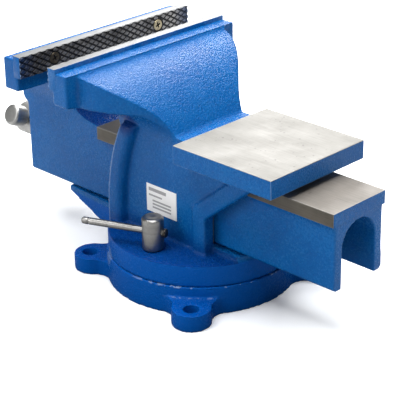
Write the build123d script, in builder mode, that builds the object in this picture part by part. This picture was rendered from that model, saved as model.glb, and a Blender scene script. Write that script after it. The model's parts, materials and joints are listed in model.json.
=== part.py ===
from build123d import *

import os
from math import acos, asin, atan2, cos, degrees, hypot, radians, sin, sqrt, tan

# Bench vise with a swivel base, 200 mm jaws and an anvil.
# Millimetres.  Z is up from the bench top, X points from the anvil towards the handle,
# and the origin is on the swivel axis at the underside of the base.

# ---------------------------------------------------------------- fits and clearances
SEAT_GAP = 0.1          # between parts that slide or turn face to face
RUNNING_FIT = 0.05      # radial, a shaft that turns or slides in its bore
THREAD_FIT = 0.05       # radial, a thread drawn as a plain shank in a plain bore
BOLT_CLEARANCE = 0.5    # radial, a bolt in its clearance hole
SLIDE_FIT = 0.15        # each side, the slide in its tunnel
EMBED = 10.0            # how deep one stretch of a casting runs into the next

# ---------------------------------------------------------------- swivel base
BASE_RADIUS = 83.5
BASE_HEIGHT = 25.0
BASE_TURN = -6.0        # degrees, how far the ears are turned from the diagonals
BASE_EDGE = 1.2
BOLT_CIRCLE_RADIUS = 99.4
BOLT_HOLE_RADIUS = 6.5
EAR_COUNT = 4
EAR_RADIUS = 17.0
EAR_HEIGHT = 15.0
EAR_SETBACK = 2.7       # centre of an ear's round end, in from its bolt hole
EAR_BLEND = 14.0        # radius where an ear runs into the round base
SLOT_NECK = 11.0        # width of the ring slot's mouth
SLOT_WIDTH = 19.0       # width of the ring slot below its lips
SLOT_FLOOR = 7.0
LIP_THICKNESS = 9.0
SLOT_ENTRY_RADIUS = 10.5
SLOT_ENTRY_ANGLE = 0.0
CORE_RADIUS = 46.0      # the hollow under the base
CORE_DEPTH = 12.0
SPIGOT_RADIUS = 13.0
SPIGOT_HEIGHT = 8.0
SPIGOT_HOLE_RADIUS = 5.0

# ---------------------------------------------------------------- slide of the moving jaw
SLIDE_WIDTH = 64.0      # over the two machined strips
SLIDE_HEIGHT = 68.4
SLIDE_REAR_X = -173.0
SLIDE_FRONT_X = 193.0
STRIP_DEPTH = 2.0       # how far a strip stands out of the slide's side
STRIP_HEIGHT = 11.8
STRIP_FRONT_X = 96.4
CHANNEL_WIDTH = 41.0
CHANNEL_CROWN = 14.2    # metal above the round top of the channel
LEG_CHAMFER = 2.0
FRONT_WALL = 16.0

# ---------------------------------------------------------------- jaws and their plates
JAW_WIDTH = 200.0
JAW_RISE = 77.3         # top of the plates above the top of the slide
FIXED_FACE_X = 77.0     # gripping face of the fixed jaw
JAW_GAP = 35.0          # between the two gripping faces, as stored
PLATE_HEIGHT = 19.4
PLATE_THICKNESS = 9.5
PLATE_PROUD = 4.7       # how far a plate stands in front of the casting
PLATE_EDGE = 0.4
PLATE_SCREW_SPACING = 122.6
LEDGE_DROP = 3.7        # top of the casting below the top of the plate
HORN_DEPTH = 18.0
HORN_HEIGHT = 27.9
HORN_ROUND = 5.0        # lower edge of the horn on the side of the gap
SWOOP_STEP = 2.4        # start of the swoop below the top of the horn
SWOOP_SHOULDER_WIDTH = 174.0
WING_BLEND = 28.0       # hollow radius between the fixed jaw's wings and its wall
MOVING_WING_BLEND = 36.0
WING_RISE = 4.8         # rise of a wing's underside from its hollow to its tip
SHOULDER_PULL = 0.49    # how far each bend of a wing's plan reaches, as a part of its length
WAIST_PULL = 0.77
SHOULDER_EASE = 3.0     # how far those bends stand in from the shoulder and out from the foot
WAIST_EASE = 3.5
SWOOP_BULGE = 8.8       # of the swoop above its chord

# ---------------------------------------------------------------- fixed body
BODY_WALL = 9.0
FLANGE_RADIUS = 82.0
FLANGE_HEIGHT = 19.4
FLANGE_EDGE = 1.5
RAIL_HEIGHT = 4.7       # rail under the slide, above the flange
RAIL_GAP = 1.5          # slide above the rail, outside the bearing pads
RAIL_WIDTH = 68.0
NOSE_TIP_X = 141.5
NOSE_TIP_WIDTH = 58.0
NOSE_TIP_HEIGHT = 5.0
NOSE_FOOT_X = 90.0
NOSE_ROUND = 2.5
BODY_REAR_X = -46.0
BODY_FRONT_X = 66.5
BRACKET_START = 33.0    # above the flange, where the rear edge starts to lean back
BRACKET_END_X = -106.0
FOOT_X = -11.2          # foot of the fixed jaw's swoop
FOOT_DROP = 2.0         # foot below the anvil's face
PAD_LENGTH = 14.0
RIB_PROUD = 8.0
RIB_WIDTH = 16.5
RIB_HEIGHT = 97.0       # above the flange
RIB_BEND_HEIGHT = 13.5  # above the flange, where the body's front starts to lean back
RIB_BEND_RADIUS = 185.0
RIB_ROUND = 7.0
BAND_PROUD = 3.0
BAND_WIDTH = 14.5

# ---------------------------------------------------------------- anvil
ANVIL_FRONT_X = -24.0
ANVIL_LENGTH = 106.8
ANVIL_WIDTH = 114.0
ANVIL_THICKNESS = 16.6
ANVIL_RISE = 23.5       # face of the anvil above the top of the slide
ANVIL_EDGE = 0.8
ANVIL_BLEND = 3.0       # hollow where the slab runs into the walls

# ---------------------------------------------------------------- moving jaw above its slide
WEB_SETBACK = 11.3      # web behind the horn's front
WEB_FOOT_RISE = 8.5     # of the long hollow from the strips' ends to the web
WEB_FOOT_ROUND = 8.0
MOVING_FOOT_X = 196.0
MOVING_FOOT_RISE = 12.8 # foot of its swoop above the slide
BEAD_RADIUS = 9.0
BEAD_RISE = 7.4
BEAD_SETBACK = 2.0      # bead's centre behind the front face
BEAD_BLEND = 5.0
PARTING_WIDTH = 2.0
PARTING_DEPTH = 1.2

# ---------------------------------------------------------------- screw, nut and handle
SCREW_RADIUS = 11.0
SCREW_REAR_X = -140.0
HEAD_RADIUS = 15.5
HEAD_LENGTH = 38.0
HEAD_EDGE = 1.2
WASHER_THICKNESS = 3.0
THRUST_WASHER_RADIUS = 17.0
SPRING_WASHER_RADIUS = 17.5
SPRING_LENGTH = 22.0
SPRING_RADIUS = 14.6
SPRING_WIRE = 2.6
SPRING_TURNS = 4
PIN_RADIUS = 2.0
PIN_REACH = 13.0        # each way from the screw's axis
PIN_EYE_RADIUS = 2.4
PIN_WIRE = 2.0
NUT_REAR_X = 18.0
NUT_LENGTH = 45.0
NUT_WIDTH = 34.0
NUT_BOLT_RADIUS = 5.0
NUT_BOLT_SPACING = 24.0
NUT_BOLT_REACH = 16.0
HEX_ACROSS_FLATS = 17.0
HEX_HEIGHT = 6.4
BOLT_WASHER_RADIUS = 9.5
BOLT_WASHER_THICKNESS = 1.6
COUNTERBORE_RADIUS = 10.5
BOLT_HEAD_SUNK = 1.0
HANDLE_RADIUS = 6.0
HANDLE_LENGTH = 210.0
HANDLE_TILT = 24.5      # degrees above the level, on the side of +Y
HANDLE_UP_REACH = 34.0  # upper end from the screw's axis
HANDLE_HOLE_FROM_END = 15.0
KNOB_RADIUS = 10.0
KNOB_LENGTH = 16.0
KNOB_ROUND = 3.0
KNOB_SEAT = 12.0        # how deep the bar sits in a knob

# ---------------------------------------------------------------- swivel locks
LOCK_X = -3.5
LOCK_OFFSET = 21.0      # centre of a lock from the body's side wall
LOCK_BOLT_RADIUS = 5.0
LOCK_HEAD_SIZE = 17.0
LOCK_HEAD_HEIGHT = 7.0
LOCK_NUT_RADIUS = 9.35
LOCK_NUT_HEIGHT = 29.5
LOCK_NUT_EDGE = 1.3
LOCK_BAR_RADIUS = 3.1
LOCK_BAR_HEIGHT = 16.0  # above the flange
LOCK_BAR_ANGLE = 22.4   # degrees from +X
LOCK_BAR_REACH = 66.0
LOCK_STUB_RADIUS = 3.9
LOCK_STUB_LENGTH = 2.8
LOCK_CAP_LENGTH = 6.0
LOCK_GROOVE = 1.4
LOCK_THREAD_DEPTH = 12.0

# ---------------------------------------------------------------- plate screws and labels
SCREW_SHANK_RADIUS = 3.0
SCREW_HEAD_RADIUS = 5.2
SCREW_LENGTH = 22.0
SCREW_SUNK = 0.3
LABEL_LENGTH = 36.0
LABEL_HEIGHT = 25.5
LABEL_THICKNESS = 0.2
LABEL_X = 6.7
LABEL_RISE = 20.3       # lower edge above the flange

# ---------------------------------------------------------------- heights that follow
flange_bottom = BASE_HEIGHT + SEAT_GAP
flange_top = flange_bottom + FLANGE_HEIGHT
rail_top = flange_top + RAIL_HEIGHT
slide_bottom = rail_top + RAIL_GAP
slide_top = slide_bottom + SLIDE_HEIGHT
axis_z = slide_top - CHANNEL_CROWN - CHANNEL_WIDTH / 2
jaw_top = slide_top + JAW_RISE
plate_bottom = jaw_top - PLATE_HEIGHT
ledge_top = jaw_top - LEDGE_DROP
horn_bottom = ledge_top - HORN_HEIGHT
swoop_top = ledge_top - SWOOP_STEP
anvil_top = slide_top + ANVIL_RISE
anvil_bottom = anvil_top - ANVIL_THICKNESS
foot_z = anvil_top - FOOT_DROP
anvil_rear_x = ANVIL_FRONT_X - ANVIL_LENGTH

# places across the vise
moving_face_x = FIXED_FACE_X + JAW_GAP
slide_side = SLIDE_WIDTH / 2 - STRIP_DEPTH
tunnel_side = SLIDE_WIDTH / 2 + SLIDE_FIT
body_side = SLIDE_WIDTH / 2 + BODY_WALL
lock_y = body_side + LOCK_OFFSET
slot_radius = hypot(LOCK_X, lock_y)

os.makedirs("parts", exist_ok=True)


def save(piece, name):
    """Label a finished piece and write it as the node of that name."""
    piece.part.label = name
    export_step(piece.part, f"parts/{name}.step")


def polar(radius, angle):
    """Point at a radius and an angle in degrees about the swivel axis."""
    return radius * cos(radians(angle)), radius * sin(radians(angle))


# ================================================================ base plate
slot_roof = BASE_HEIGHT - LIP_THICKNESS

# a blend is an arc that touches the round base and an ear's round end: the triangle of the
# swivel axis, the ear's centre and the blend's centre gives where it starts and ends
to_base = BASE_RADIUS + EAR_BLEND
to_ear = EAR_RADIUS + EAR_BLEND
ear_reach = BOLT_CIRCLE_RADIUS - EAR_SETBACK
at_axis = degrees(acos((ear_reach**2 + to_base**2 - to_ear**2) / (2 * ear_reach * to_base)))
at_blend = degrees(acos((to_base**2 + to_ear**2 - ear_reach**2) / (2 * to_base * to_ear)))
at_ear = at_axis + at_blend

with BuildPart() as base_plate:
    # round body, turned: rim, spigot, hollow underside and ring slot for the bolt heads
    with BuildSketch(Plane.XZ) as half_section:
        with Locations((BASE_RADIUS / 2, BASE_HEIGHT / 2)):
            Rectangle(BASE_RADIUS, BASE_HEIGHT)
        rim = half_section.vertices().group_by(Axis.X)[-1].sort_by(Axis.Y)[-1]
        fillet(rim, BASE_EDGE)
        with Locations((SPIGOT_RADIUS / 2, BASE_HEIGHT + SPIGOT_HEIGHT / 2)):
            Rectangle(SPIGOT_RADIUS, SPIGOT_HEIGHT)
        with Locations((CORE_RADIUS / 2, CORE_DEPTH / 2)):
            Rectangle(CORE_RADIUS, CORE_DEPTH, mode=Mode.SUBTRACT)
        with Locations((SPIGOT_HOLE_RADIUS / 2, (BASE_HEIGHT + SPIGOT_HEIGHT) / 2)):
            Rectangle(SPIGOT_HOLE_RADIUS, BASE_HEIGHT + SPIGOT_HEIGHT, mode=Mode.SUBTRACT)
        with Locations((slot_radius, (SLOT_FLOOR + slot_roof) / 2)):
            Rectangle(SLOT_WIDTH, slot_roof - SLOT_FLOOR, mode=Mode.SUBTRACT)
        with Locations((slot_radius, slot_roof + LIP_THICKNESS / 2)):
            Rectangle(SLOT_NECK, LIP_THICKNESS, mode=Mode.SUBTRACT)
    revolve(axis=Axis.Z)
    # ears, blended into the round body
    with BuildSketch(Plane.XY):
        with BuildLine():
            for ear in range(EAR_COUNT):
                middle = 45 + BASE_TURN + ear * 360 / EAR_COUNT
                CenterArc((0, 0), BASE_RADIUS, middle + at_axis, 360 / EAR_COUNT - 2 * at_axis)
                CenterArc(polar(ear_reach, middle), EAR_RADIUS, middle - at_ear, 2 * at_ear)
                for side in (1, -1):
                    blend_turn = middle + side * at_axis
                    blend_centre = polar(to_base, blend_turn)
                    CenterArc(blend_centre, EAR_BLEND, blend_turn + 180, side * at_blend)
        make_face()
        Circle((BASE_RADIUS + slot_radius + SLOT_WIDTH / 2) / 2, mode=Mode.SUBTRACT)
        with PolarLocations(BOLT_CIRCLE_RADIUS, EAR_COUNT, 45 + BASE_TURN):
            Circle(BOLT_HOLE_RADIUS, mode=Mode.SUBTRACT)
    extrude(amount=EAR_HEIGHT)
    # the one place where the bolt heads drop into the slot
    with BuildSketch(Plane.XY.offset(SLOT_FLOOR)):
        with PolarLocations(slot_radius, 1, SLOT_ENTRY_ANGLE):
            Circle(SLOT_ENTRY_RADIUS)
    extrude(amount=BASE_HEIGHT - SLOT_FLOOR, mode=Mode.SUBTRACT)
save(base_plate, "base_plate")


# ================================================================ shapes that both jaws share
def jaw_plan(horn_x, foot_x, foot_half_width):
    """Plan of a jaw: the full width at the horn, then wings that flow in to the narrow foot."""
    out = 1 if foot_x > horn_x else -1
    reach = abs(foot_x - horn_x)
    shoulder = SWOOP_SHOULDER_WIDTH / 2
    waist = foot_half_width + WAIST_EASE
    with BuildSketch(Plane.XY) as plan:
        with BuildLine():
            for side in (1, -1):
                Bezier(
                    (horn_x, side * shoulder),
                    (horn_x + out * SHOULDER_PULL * reach, side * (shoulder - SHOULDER_EASE)),
                    (horn_x + out * WAIST_PULL * reach, side * waist),
                    (foot_x, side * foot_half_width),
                )
                Polyline(
                    (horn_x, side * shoulder),
                    (horn_x, side * JAW_WIDTH / 2),
                    (horn_x - out * 3 * HORN_DEPTH, side * JAW_WIDTH / 2),
                )
            Line((foot_x, foot_half_width), (foot_x, -foot_half_width))
            front_x = horn_x - out * 3 * HORN_DEPTH
            Line((front_x, JAW_WIDTH / 2), (front_x, -JAW_WIDTH / 2))
        make_face()
    return plan.sketch


def wing_section(start_x, wall, blend):
    """Section across a jaw: a wall that flares through a hollow into the two wings."""
    bend_z = horn_bottom - WING_RISE
    hollow_z = bend_z - blend
    with BuildSketch(Plane.YZ.offset(start_x)) as section:
        with BuildLine():
            for side in (1, -1):
                Line((side * wall, slide_top - EMBED), (side * wall, hollow_z))
                CenterArc((side * (wall + blend), hollow_z), blend, 90, 90 * side)
                Line((side * (wall + blend), bend_z), (side * JAW_WIDTH / 2, horn_bottom))
                Line((side * JAW_WIDTH / 2, horn_bottom), (side * JAW_WIDTH / 2, jaw_top))
            Line((-wall, slide_top - EMBED), (wall, slide_top - EMBED))
            Line((-JAW_WIDTH / 2, jaw_top), (JAW_WIDTH / 2, jaw_top))
        make_face()
    return section.sketch


def plate_screw_spots(face_x, outward):
    """Planes at the two screws of a jaw plate, facing out of its gripping face."""
    spots = []
    for side in (1, -1):
        spot = (face_x, side * PLATE_SCREW_SPACING / 2, (plate_bottom + jaw_top) / 2)
        spots.append(Plane(origin=spot, x_dir=(0, 1, 0), z_dir=(outward, 0, 0)))
    return spots


fixed_spots = plate_screw_spots(FIXED_FACE_X, 1)
moving_spots = plate_screw_spots(moving_face_x, -1)
nut_spots = [NUT_REAR_X + NUT_LENGTH / 2 + side * NUT_BOLT_SPACING / 2 for side in (-1, 1)]

# ================================================================ swivel body
fixed_horn_front = FIXED_FACE_X - PLATE_PROUD
fixed_horn_back = fixed_horn_front - HORN_DEPTH
fixed_plate_back = FIXED_FACE_X - PLATE_THICKNESS
bracket_z = flange_top + BRACKET_START
front_bend_z = flange_top + RIB_BEND_HEIGHT
roof_rise = slide_top - front_bend_z
front_relief = RIB_BEND_RADIUS - sqrt(RIB_BEND_RADIUS**2 - roof_rise**2)
roof_front_x = BODY_FRONT_X - front_relief
fixed_plan = jaw_plan(fixed_horn_back, FOOT_X, body_side)
fixed_section = wing_section(FOOT_X, body_side, WING_BLEND)

# upper casting: horn, wings and the swoop down to the foot
with BuildPart() as fixed_jaw:
    extrude(to_extrude=fixed_section, amount=fixed_horn_front - FOOT_X)
    extrude(to_extrude=fixed_plan, amount=jaw_top, mode=Mode.INTERSECT)
    with BuildSketch(Plane.XZ) as profile:
        with BuildLine():
            SagittaArc((fixed_horn_back, swoop_top), (FOOT_X, foot_z), -SWOOP_BULGE)
            Polyline(
                (FOOT_X, foot_z),
                (FOOT_X, slide_top - EMBED),
                (roof_front_x, slide_top - EMBED),
                (roof_front_x, horn_bottom - front_relief),
                (fixed_horn_front, horn_bottom),
                (fixed_horn_front, plate_bottom),
                (fixed_plate_back, plate_bottom),
                (fixed_plate_back, ledge_top),
                (fixed_horn_back, ledge_top),
                (fixed_horn_back, swoop_top),
            )
        make_face()
        fillet(profile.vertices().sort_by_distance((fixed_horn_front, horn_bottom))[0], HORN_ROUND)
    extrude(amount=JAW_WIDTH, both=True, mode=Mode.INTERSECT)

# the nose reaches out under the slide
with BuildPart() as nose:
    with BuildSketch(Plane.XY.offset(flange_bottom)):
        with BuildLine():
            Polyline(
                (BODY_REAR_X, -RAIL_WIDTH / 2),
                (BODY_FRONT_X, -RAIL_WIDTH / 2),
                (NOSE_TIP_X, -NOSE_TIP_WIDTH / 2),
                (NOSE_TIP_X, NOSE_TIP_WIDTH / 2),
                (BODY_FRONT_X, RAIL_WIDTH / 2),
                (BODY_REAR_X, RAIL_WIDTH / 2),
                close=True,
            )
        make_face()
    extrude(amount=rail_top - flange_bottom)
    fillet(nose.edges().filter_by(Axis.Z).group_by(Axis.X)[-1], NOSE_ROUND)
    with BuildSketch(Plane.XZ) as nose_profile:
        with BuildLine():
            Polyline(
                (BODY_REAR_X, flange_bottom),
                (NOSE_FOOT_X, flange_bottom),
                (NOSE_TIP_X, rail_top - NOSE_TIP_HEIGHT),
                (NOSE_TIP_X, rail_top),
                (BODY_REAR_X, rail_top),
                close=True,
            )
        make_face()
        tip = nose_profile.vertices().group_by(Axis.X)[-1].sort_by(Axis.Y)[0]
        fillet(tip, NOSE_TIP_HEIGHT / 2)
    extrude(amount=RAIL_WIDTH, both=True, mode=Mode.INTERSECT)

# rib that frames the mouth of the tunnel on one side: sharp in front, round at the rear and top
with BuildPart() as rib:
    rib_foot_z = flange_bottom + FLANGE_EDGE
    rib_rear_x = BODY_FRONT_X - RIB_WIDTH
    rib_bend = degrees(asin((flange_top + RIB_HEIGHT - front_bend_z) / RIB_BEND_RADIUS))
    with BuildSketch(Plane.XZ.offset(-body_side + RIB_ROUND)):
        with BuildLine():
            ends = []
            for x in (BODY_FRONT_X, rib_rear_x):
                Line((x, rib_foot_z), (x, front_bend_z))
                ends.append(CenterArc((x - RIB_BEND_RADIUS, front_bend_z), RIB_BEND_RADIUS, 0, rib_bend) @ 1)
            Line(*ends)
            Line((BODY_FRONT_X, rib_foot_z), (rib_rear_x, rib_foot_z))
        make_face()
    extrude(amount=-RIB_PROUD - RIB_ROUND)
    outer_edges = rib.faces().sort_by(Axis.Y)[-1].edges()
    turned_away = rib.faces().filter_by(lambda face: face.normal_at().X < -0.5 or face.normal_at().Z > 0.5)
    fillet(outer_edges & turned_away.edges(), RIB_ROUND)

# flat band round the rear mouth of the tunnel, on one side
with BuildPart() as band:
    lean = atan2(BODY_REAR_X - BRACKET_END_X, anvil_bottom - bracket_z)
    with BuildSketch(Plane.XZ.offset(-body_side + BAND_PROUD)):
        with BuildLine():
            Polyline(
                (BODY_REAR_X, flange_top - BAND_PROUD),
                (BODY_REAR_X, bracket_z),
                (BRACKET_END_X, anvil_bottom),
                (BRACKET_END_X + BAND_WIDTH / cos(lean), anvil_bottom),
                (BODY_REAR_X + BAND_WIDTH, bracket_z + BAND_WIDTH * tan(lean / 2)),
                (BODY_REAR_X + BAND_WIDTH, flange_top - BAND_PROUD),
                close=True,
            )
        make_face()
    extrude(amount=-2 * BAND_PROUD)

with BuildPart() as anvil:
    with BuildSketch(Plane.XY.offset(anvil_bottom)):
        with Locations((ANVIL_FRONT_X - ANVIL_LENGTH / 2, 0)):
            Rectangle(ANVIL_LENGTH, ANVIL_WIDTH)
    extrude(amount=ANVIL_THICKNESS)
    chamfer(anvil.faces().sort_by(Axis.Z)[-1].edges(), ANVIL_EDGE)

with BuildPart() as swivel_body:
    # flange
    with BuildSketch(Plane.XZ) as flange_section:
        with Locations((FLANGE_RADIUS / 2, flange_bottom + FLANGE_HEIGHT / 2)):
            Rectangle(FLANGE_RADIUS, FLANGE_HEIGHT)
        fillet(flange_section.vertices().group_by(Axis.X)[-1].sort_by(Axis.Y)[-1], FLANGE_EDGE)
    revolve(axis=Axis.Z)
    # rail under the slide
    with BuildSketch(Plane.XY.offset(flange_bottom)):
        Circle(FLANGE_RADIUS - FLANGE_EDGE)
        Rectangle(2 * FLANGE_RADIUS, RAIL_WIDTH, mode=Mode.INTERSECT)
    extrude(amount=rail_top - flange_bottom)
    add(nose.part)
    # walls, roof and the bracket under the anvil
    with BuildSketch(Plane.XZ):
        with BuildLine():
            Polyline(
                (BODY_REAR_X, flange_bottom + FLANGE_EDGE),
                (BODY_REAR_X, bracket_z),
                (BRACKET_END_X, anvil_bottom),
                (BRACKET_END_X, foot_z),
                (roof_front_x, foot_z),
                (roof_front_x, slide_top),
            )
            bend_centre = (BODY_FRONT_X - RIB_BEND_RADIUS, front_bend_z)
            CenterArc(bend_centre, RIB_BEND_RADIUS, 0, degrees(asin(roof_rise / RIB_BEND_RADIUS)))
            Polyline(
                (BODY_FRONT_X, front_bend_z),
                (BODY_FRONT_X, flange_bottom + FLANGE_EDGE),
                (BODY_REAR_X, flange_bottom + FLANGE_EDGE),
            )
        make_face()
    extrude(amount=body_side, both=True)
    add(fixed_jaw.part)
    add(rib.part)
    add(mirror(rib.part, about=Plane.XZ, mode=Mode.PRIVATE))
    add(band.part)
    add(mirror(band.part, about=Plane.XZ, mode=Mode.PRIVATE))
    # anvil and the blends that carry it into the walls
    add(anvil.part)
    blend_x = ANVIL_FRONT_X + ANVIL_BLEND
    blend_y = body_side + ANVIL_BLEND
    with BuildSketch(Plane.XY.offset(anvil_bottom)):
        with BuildLine():
            for side in (1, -1):
                CenterArc((blend_x, side * blend_y), ANVIL_BLEND, 180, side * 90)
            Line((blend_x, body_side), (blend_x, -body_side))
            Line((ANVIL_FRONT_X, blend_y), (ANVIL_FRONT_X, -blend_y))
        make_face()
    extrude(amount=foot_z - anvil_bottom)
    # tunnel for the slide, with bearing pads at both mouths
    with BuildSketch(Plane.YZ):
        with Locations((0, (rail_top + slide_top + SLIDE_FIT) / 2)):
            Rectangle(2 * tunnel_side, slide_top + SLIDE_FIT - rail_top)
    extrude(amount=NOSE_TIP_X - anvil_rear_x, both=True, mode=Mode.SUBTRACT)
    pad_width = tunnel_side - CHANNEL_WIDTH / 2
    for pad_x in (BODY_FRONT_X - PAD_LENGTH / 2, BODY_REAR_X + PAD_LENGTH / 2):
        with BuildSketch(Plane.XY.offset(rail_top)):
            with GridLocations(1, 2 * tunnel_side - pad_width, 1, 2):
                with Locations((pad_x, 0)):
                    Rectangle(PAD_LENGTH, pad_width)
        extrude(amount=RAIL_GAP - SEAT_GAP)
    # bore for the base's spigot
    with BuildSketch(Plane.XY.offset(flange_bottom)):
        Circle(SPIGOT_RADIUS + RUNNING_FIT)
    extrude(amount=SPIGOT_HEIGHT + SEAT_GAP, mode=Mode.SUBTRACT)
    # holes for the lock bolts
    with BuildSketch(Plane.XY.offset(flange_bottom)):
        with Locations((LOCK_X, lock_y), (LOCK_X, -lock_y)):
            Circle(LOCK_BOLT_RADIUS + BOLT_CLEARANCE)
    extrude(amount=FLANGE_HEIGHT, mode=Mode.SUBTRACT)
    # holes for the nut's bolts, counterbored from below
    counterbore_depth = BOLT_WASHER_THICKNESS + HEX_HEIGHT + BOLT_HEAD_SUNK
    with BuildSketch(Plane.XY.offset(flange_bottom)):
        with Locations(*[(x, 0) for x in nut_spots]):
            Circle(COUNTERBORE_RADIUS)
    extrude(amount=counterbore_depth, mode=Mode.SUBTRACT)
    with BuildSketch(Plane.XY.offset(flange_bottom)):
        with Locations(*[(x, 0) for x in nut_spots]):
            Circle(NUT_BOLT_RADIUS + BOLT_CLEARANCE)
    extrude(amount=rail_top - flange_bottom, mode=Mode.SUBTRACT)
    # threaded holes for the plate's screws
    with Locations(*[spot.location for spot in fixed_spots]):
        Hole(SCREW_SHANK_RADIUS + THREAD_FIT, depth=SCREW_LENGTH + SCREW_SUNK + BOLT_CLEARANCE)
save(swivel_body, "swivel_body")

# ================================================================ moving jaw
moving_horn_front = moving_face_x + PLATE_PROUD
moving_horn_back = moving_horn_front + HORN_DEPTH
moving_plate_back = moving_face_x + PLATE_THICKNESS
web_x = moving_horn_front + WEB_SETBACK
bead_x = SLIDE_FRONT_X - BEAD_SETBACK
bead_z = slide_top + BEAD_RISE
moving_foot_z = slide_top + MOVING_FOOT_RISE
inner_wall_x = SLIDE_FRONT_X - FRONT_WALL
moving_plan = jaw_plan(moving_horn_back, MOVING_FOOT_X, slide_side)
moving_section = wing_section(STRIP_FRONT_X, slide_side, MOVING_WING_BLEND)
web_foot = (web_x, slide_top + WEB_FOOT_RISE)

# upper casting: horn, wings and the swoop down to the bead
with BuildPart() as moving_jaw_top:
    extrude(to_extrude=moving_section, amount=MOVING_FOOT_X - STRIP_FRONT_X)
    extrude(to_extrude=moving_plan, amount=jaw_top, mode=Mode.INTERSECT)
    with BuildSketch(Plane.XZ) as profile:
        with BuildLine():
            SagittaArc((moving_horn_back, swoop_top), (MOVING_FOOT_X, moving_foot_z), SWOOP_BULGE)
            Polyline(
                (MOVING_FOOT_X, moving_foot_z),
                (SLIDE_FRONT_X, moving_foot_z),
                (SLIDE_FRONT_X, slide_top - WEB_FOOT_ROUND),
                (STRIP_FRONT_X, slide_top - WEB_FOOT_ROUND),
                (STRIP_FRONT_X, slide_top),
            )
            TangentArc((STRIP_FRONT_X, slide_top), web_foot, tangent=(1, 0))
            Polyline(
                web_foot,
                (web_x, horn_bottom - WEB_SETBACK / 2),
                (moving_horn_front, horn_bottom),
                (moving_horn_front, plate_bottom),
                (moving_plate_back, plate_bottom),
                (moving_plate_back, ledge_top),
                (moving_horn_back, ledge_top),
                (moving_horn_back, swoop_top),
            )
        make_face()
        fillet(profile.vertices().sort_by_distance((moving_horn_front, horn_bottom))[0], HORN_ROUND)
        fillet(profile.vertices().sort_by_distance(web_foot)[0], WEB_FOOT_ROUND)
    extrude(amount=JAW_WIDTH, both=True, mode=Mode.INTERSECT)

# bead across the front, rolled in under itself and split by the casting's parting groove
with BuildPart() as bead:
    with BuildSketch(Plane.XZ) as bead_section:
        with Locations((bead_x, bead_z)):
            Circle(BEAD_RADIUS)
        with Locations((inner_wall_x + FRONT_WALL / 2, bead_z - 2 * BEAD_RADIUS)):
            Rectangle(FRONT_WALL, 4 * BEAD_RADIUS)
        undercut = bead_section.vertices().group_by(Axis.X)[-1].sort_by(Axis.Y)[-1]
        fillet(undercut, BEAD_BLEND)
    extrude(amount=slide_side, both=True)
    with BuildSketch(Plane.XZ):
        with Locations((bead_x, bead_z)):
            Circle(BEAD_RADIUS)
            Circle(BEAD_RADIUS - PARTING_DEPTH, mode=Mode.SUBTRACT)
    extrude(amount=PARTING_WIDTH / 2, both=True, mode=Mode.SUBTRACT)

with BuildPart() as moving_jaw:
    with BuildSketch(Plane.YZ.offset(SLIDE_REAR_X)) as slide_section:
        with Locations((0, (slide_bottom + slide_top) / 2)):
            Rectangle(2 * slide_side, SLIDE_HEIGHT)
        corners = slide_section.vertices().group_by(Axis.Y)[0]
        chamfer(corners, LEG_CHAMFER)
    extrude(amount=SLIDE_FRONT_X - SLIDE_REAR_X)
    with BuildSketch(Plane.YZ.offset(SLIDE_REAR_X)):
        with Locations((0, slide_top - STRIP_HEIGHT / 2)):
            Rectangle(SLIDE_WIDTH, STRIP_HEIGHT)
    extrude(amount=STRIP_FRONT_X - SLIDE_REAR_X)
    add(moving_jaw_top.part)
    add(bead.part)
    with BuildSketch(Plane.YZ.offset(SLIDE_REAR_X)):
        with Locations((0, axis_z)):
            Circle(CHANNEL_WIDTH / 2)
        with Locations((0, (axis_z + slide_bottom - LEG_CHAMFER) / 2)):
            Rectangle(CHANNEL_WIDTH, axis_z - slide_bottom + LEG_CHAMFER)
    extrude(amount=inner_wall_x - SLIDE_REAR_X, mode=Mode.SUBTRACT)
    with BuildSketch(Plane.YZ.offset(inner_wall_x)):
        with Locations((0, axis_z)):
            Circle(SCREW_RADIUS + RUNNING_FIT)
    extrude(amount=FRONT_WALL, mode=Mode.SUBTRACT)
    with Locations(*[spot.location for spot in moving_spots]):
        Hole(SCREW_SHANK_RADIUS + THREAD_FIT, depth=SCREW_LENGTH + SCREW_SUNK + BOLT_CLEARANCE)
save(moving_jaw, "moving_jaw")


# ================================================================ jaw plates and their screws
for name, face_x, into, spots in (
    ("fixed", FIXED_FACE_X, -1, fixed_spots),
    ("moving", moving_face_x, 1, moving_spots),
):
    with BuildPart() as plate:
        with BuildSketch(Plane.YZ.offset(face_x)):
            with Locations((0, (plate_bottom + jaw_top) / 2)):
                Rectangle(JAW_WIDTH, PLATE_HEIGHT)
        extrude(amount=into * PLATE_THICKNESS)
        face = plate.faces().filter_by(Axis.X).sort_by(Axis.X)[-1 if into < 0 else 0]
        chamfer(face.edges(), PLATE_EDGE)
        with Locations(*[spot.location for spot in spots]):
            CounterSinkHole(
                SCREW_SHANK_RADIUS + BOLT_CLEARANCE,
                SCREW_HEAD_RADIUS + BOLT_CLEARANCE,
                depth=PLATE_THICKNESS,
                counter_sink_angle=90,
            )
    save(plate, f"{name}_jaw_plate")

    with BuildPart() as screws:
        for spot in spots:
            with BuildSketch(Plane(origin=spot.origin, x_dir=(0, 1, 0), z_dir=(0, 0, -1))):
                with BuildLine():
                    Polyline(
                        (0, into * SCREW_SUNK),
                        (SCREW_HEAD_RADIUS, into * SCREW_SUNK),
                        (SCREW_SHANK_RADIUS, into * (SCREW_SUNK + SCREW_HEAD_RADIUS - SCREW_SHANK_RADIUS)),
                        (SCREW_SHANK_RADIUS, into * (SCREW_SUNK + SCREW_LENGTH)),
                        (0, into * (SCREW_SUNK + SCREW_LENGTH)),
                        close=True,
                    )
                make_face()
            revolve(axis=Axis(spot.origin, (1, 0, 0)))
    save(screws, f"{name}_plate_screws")

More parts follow.
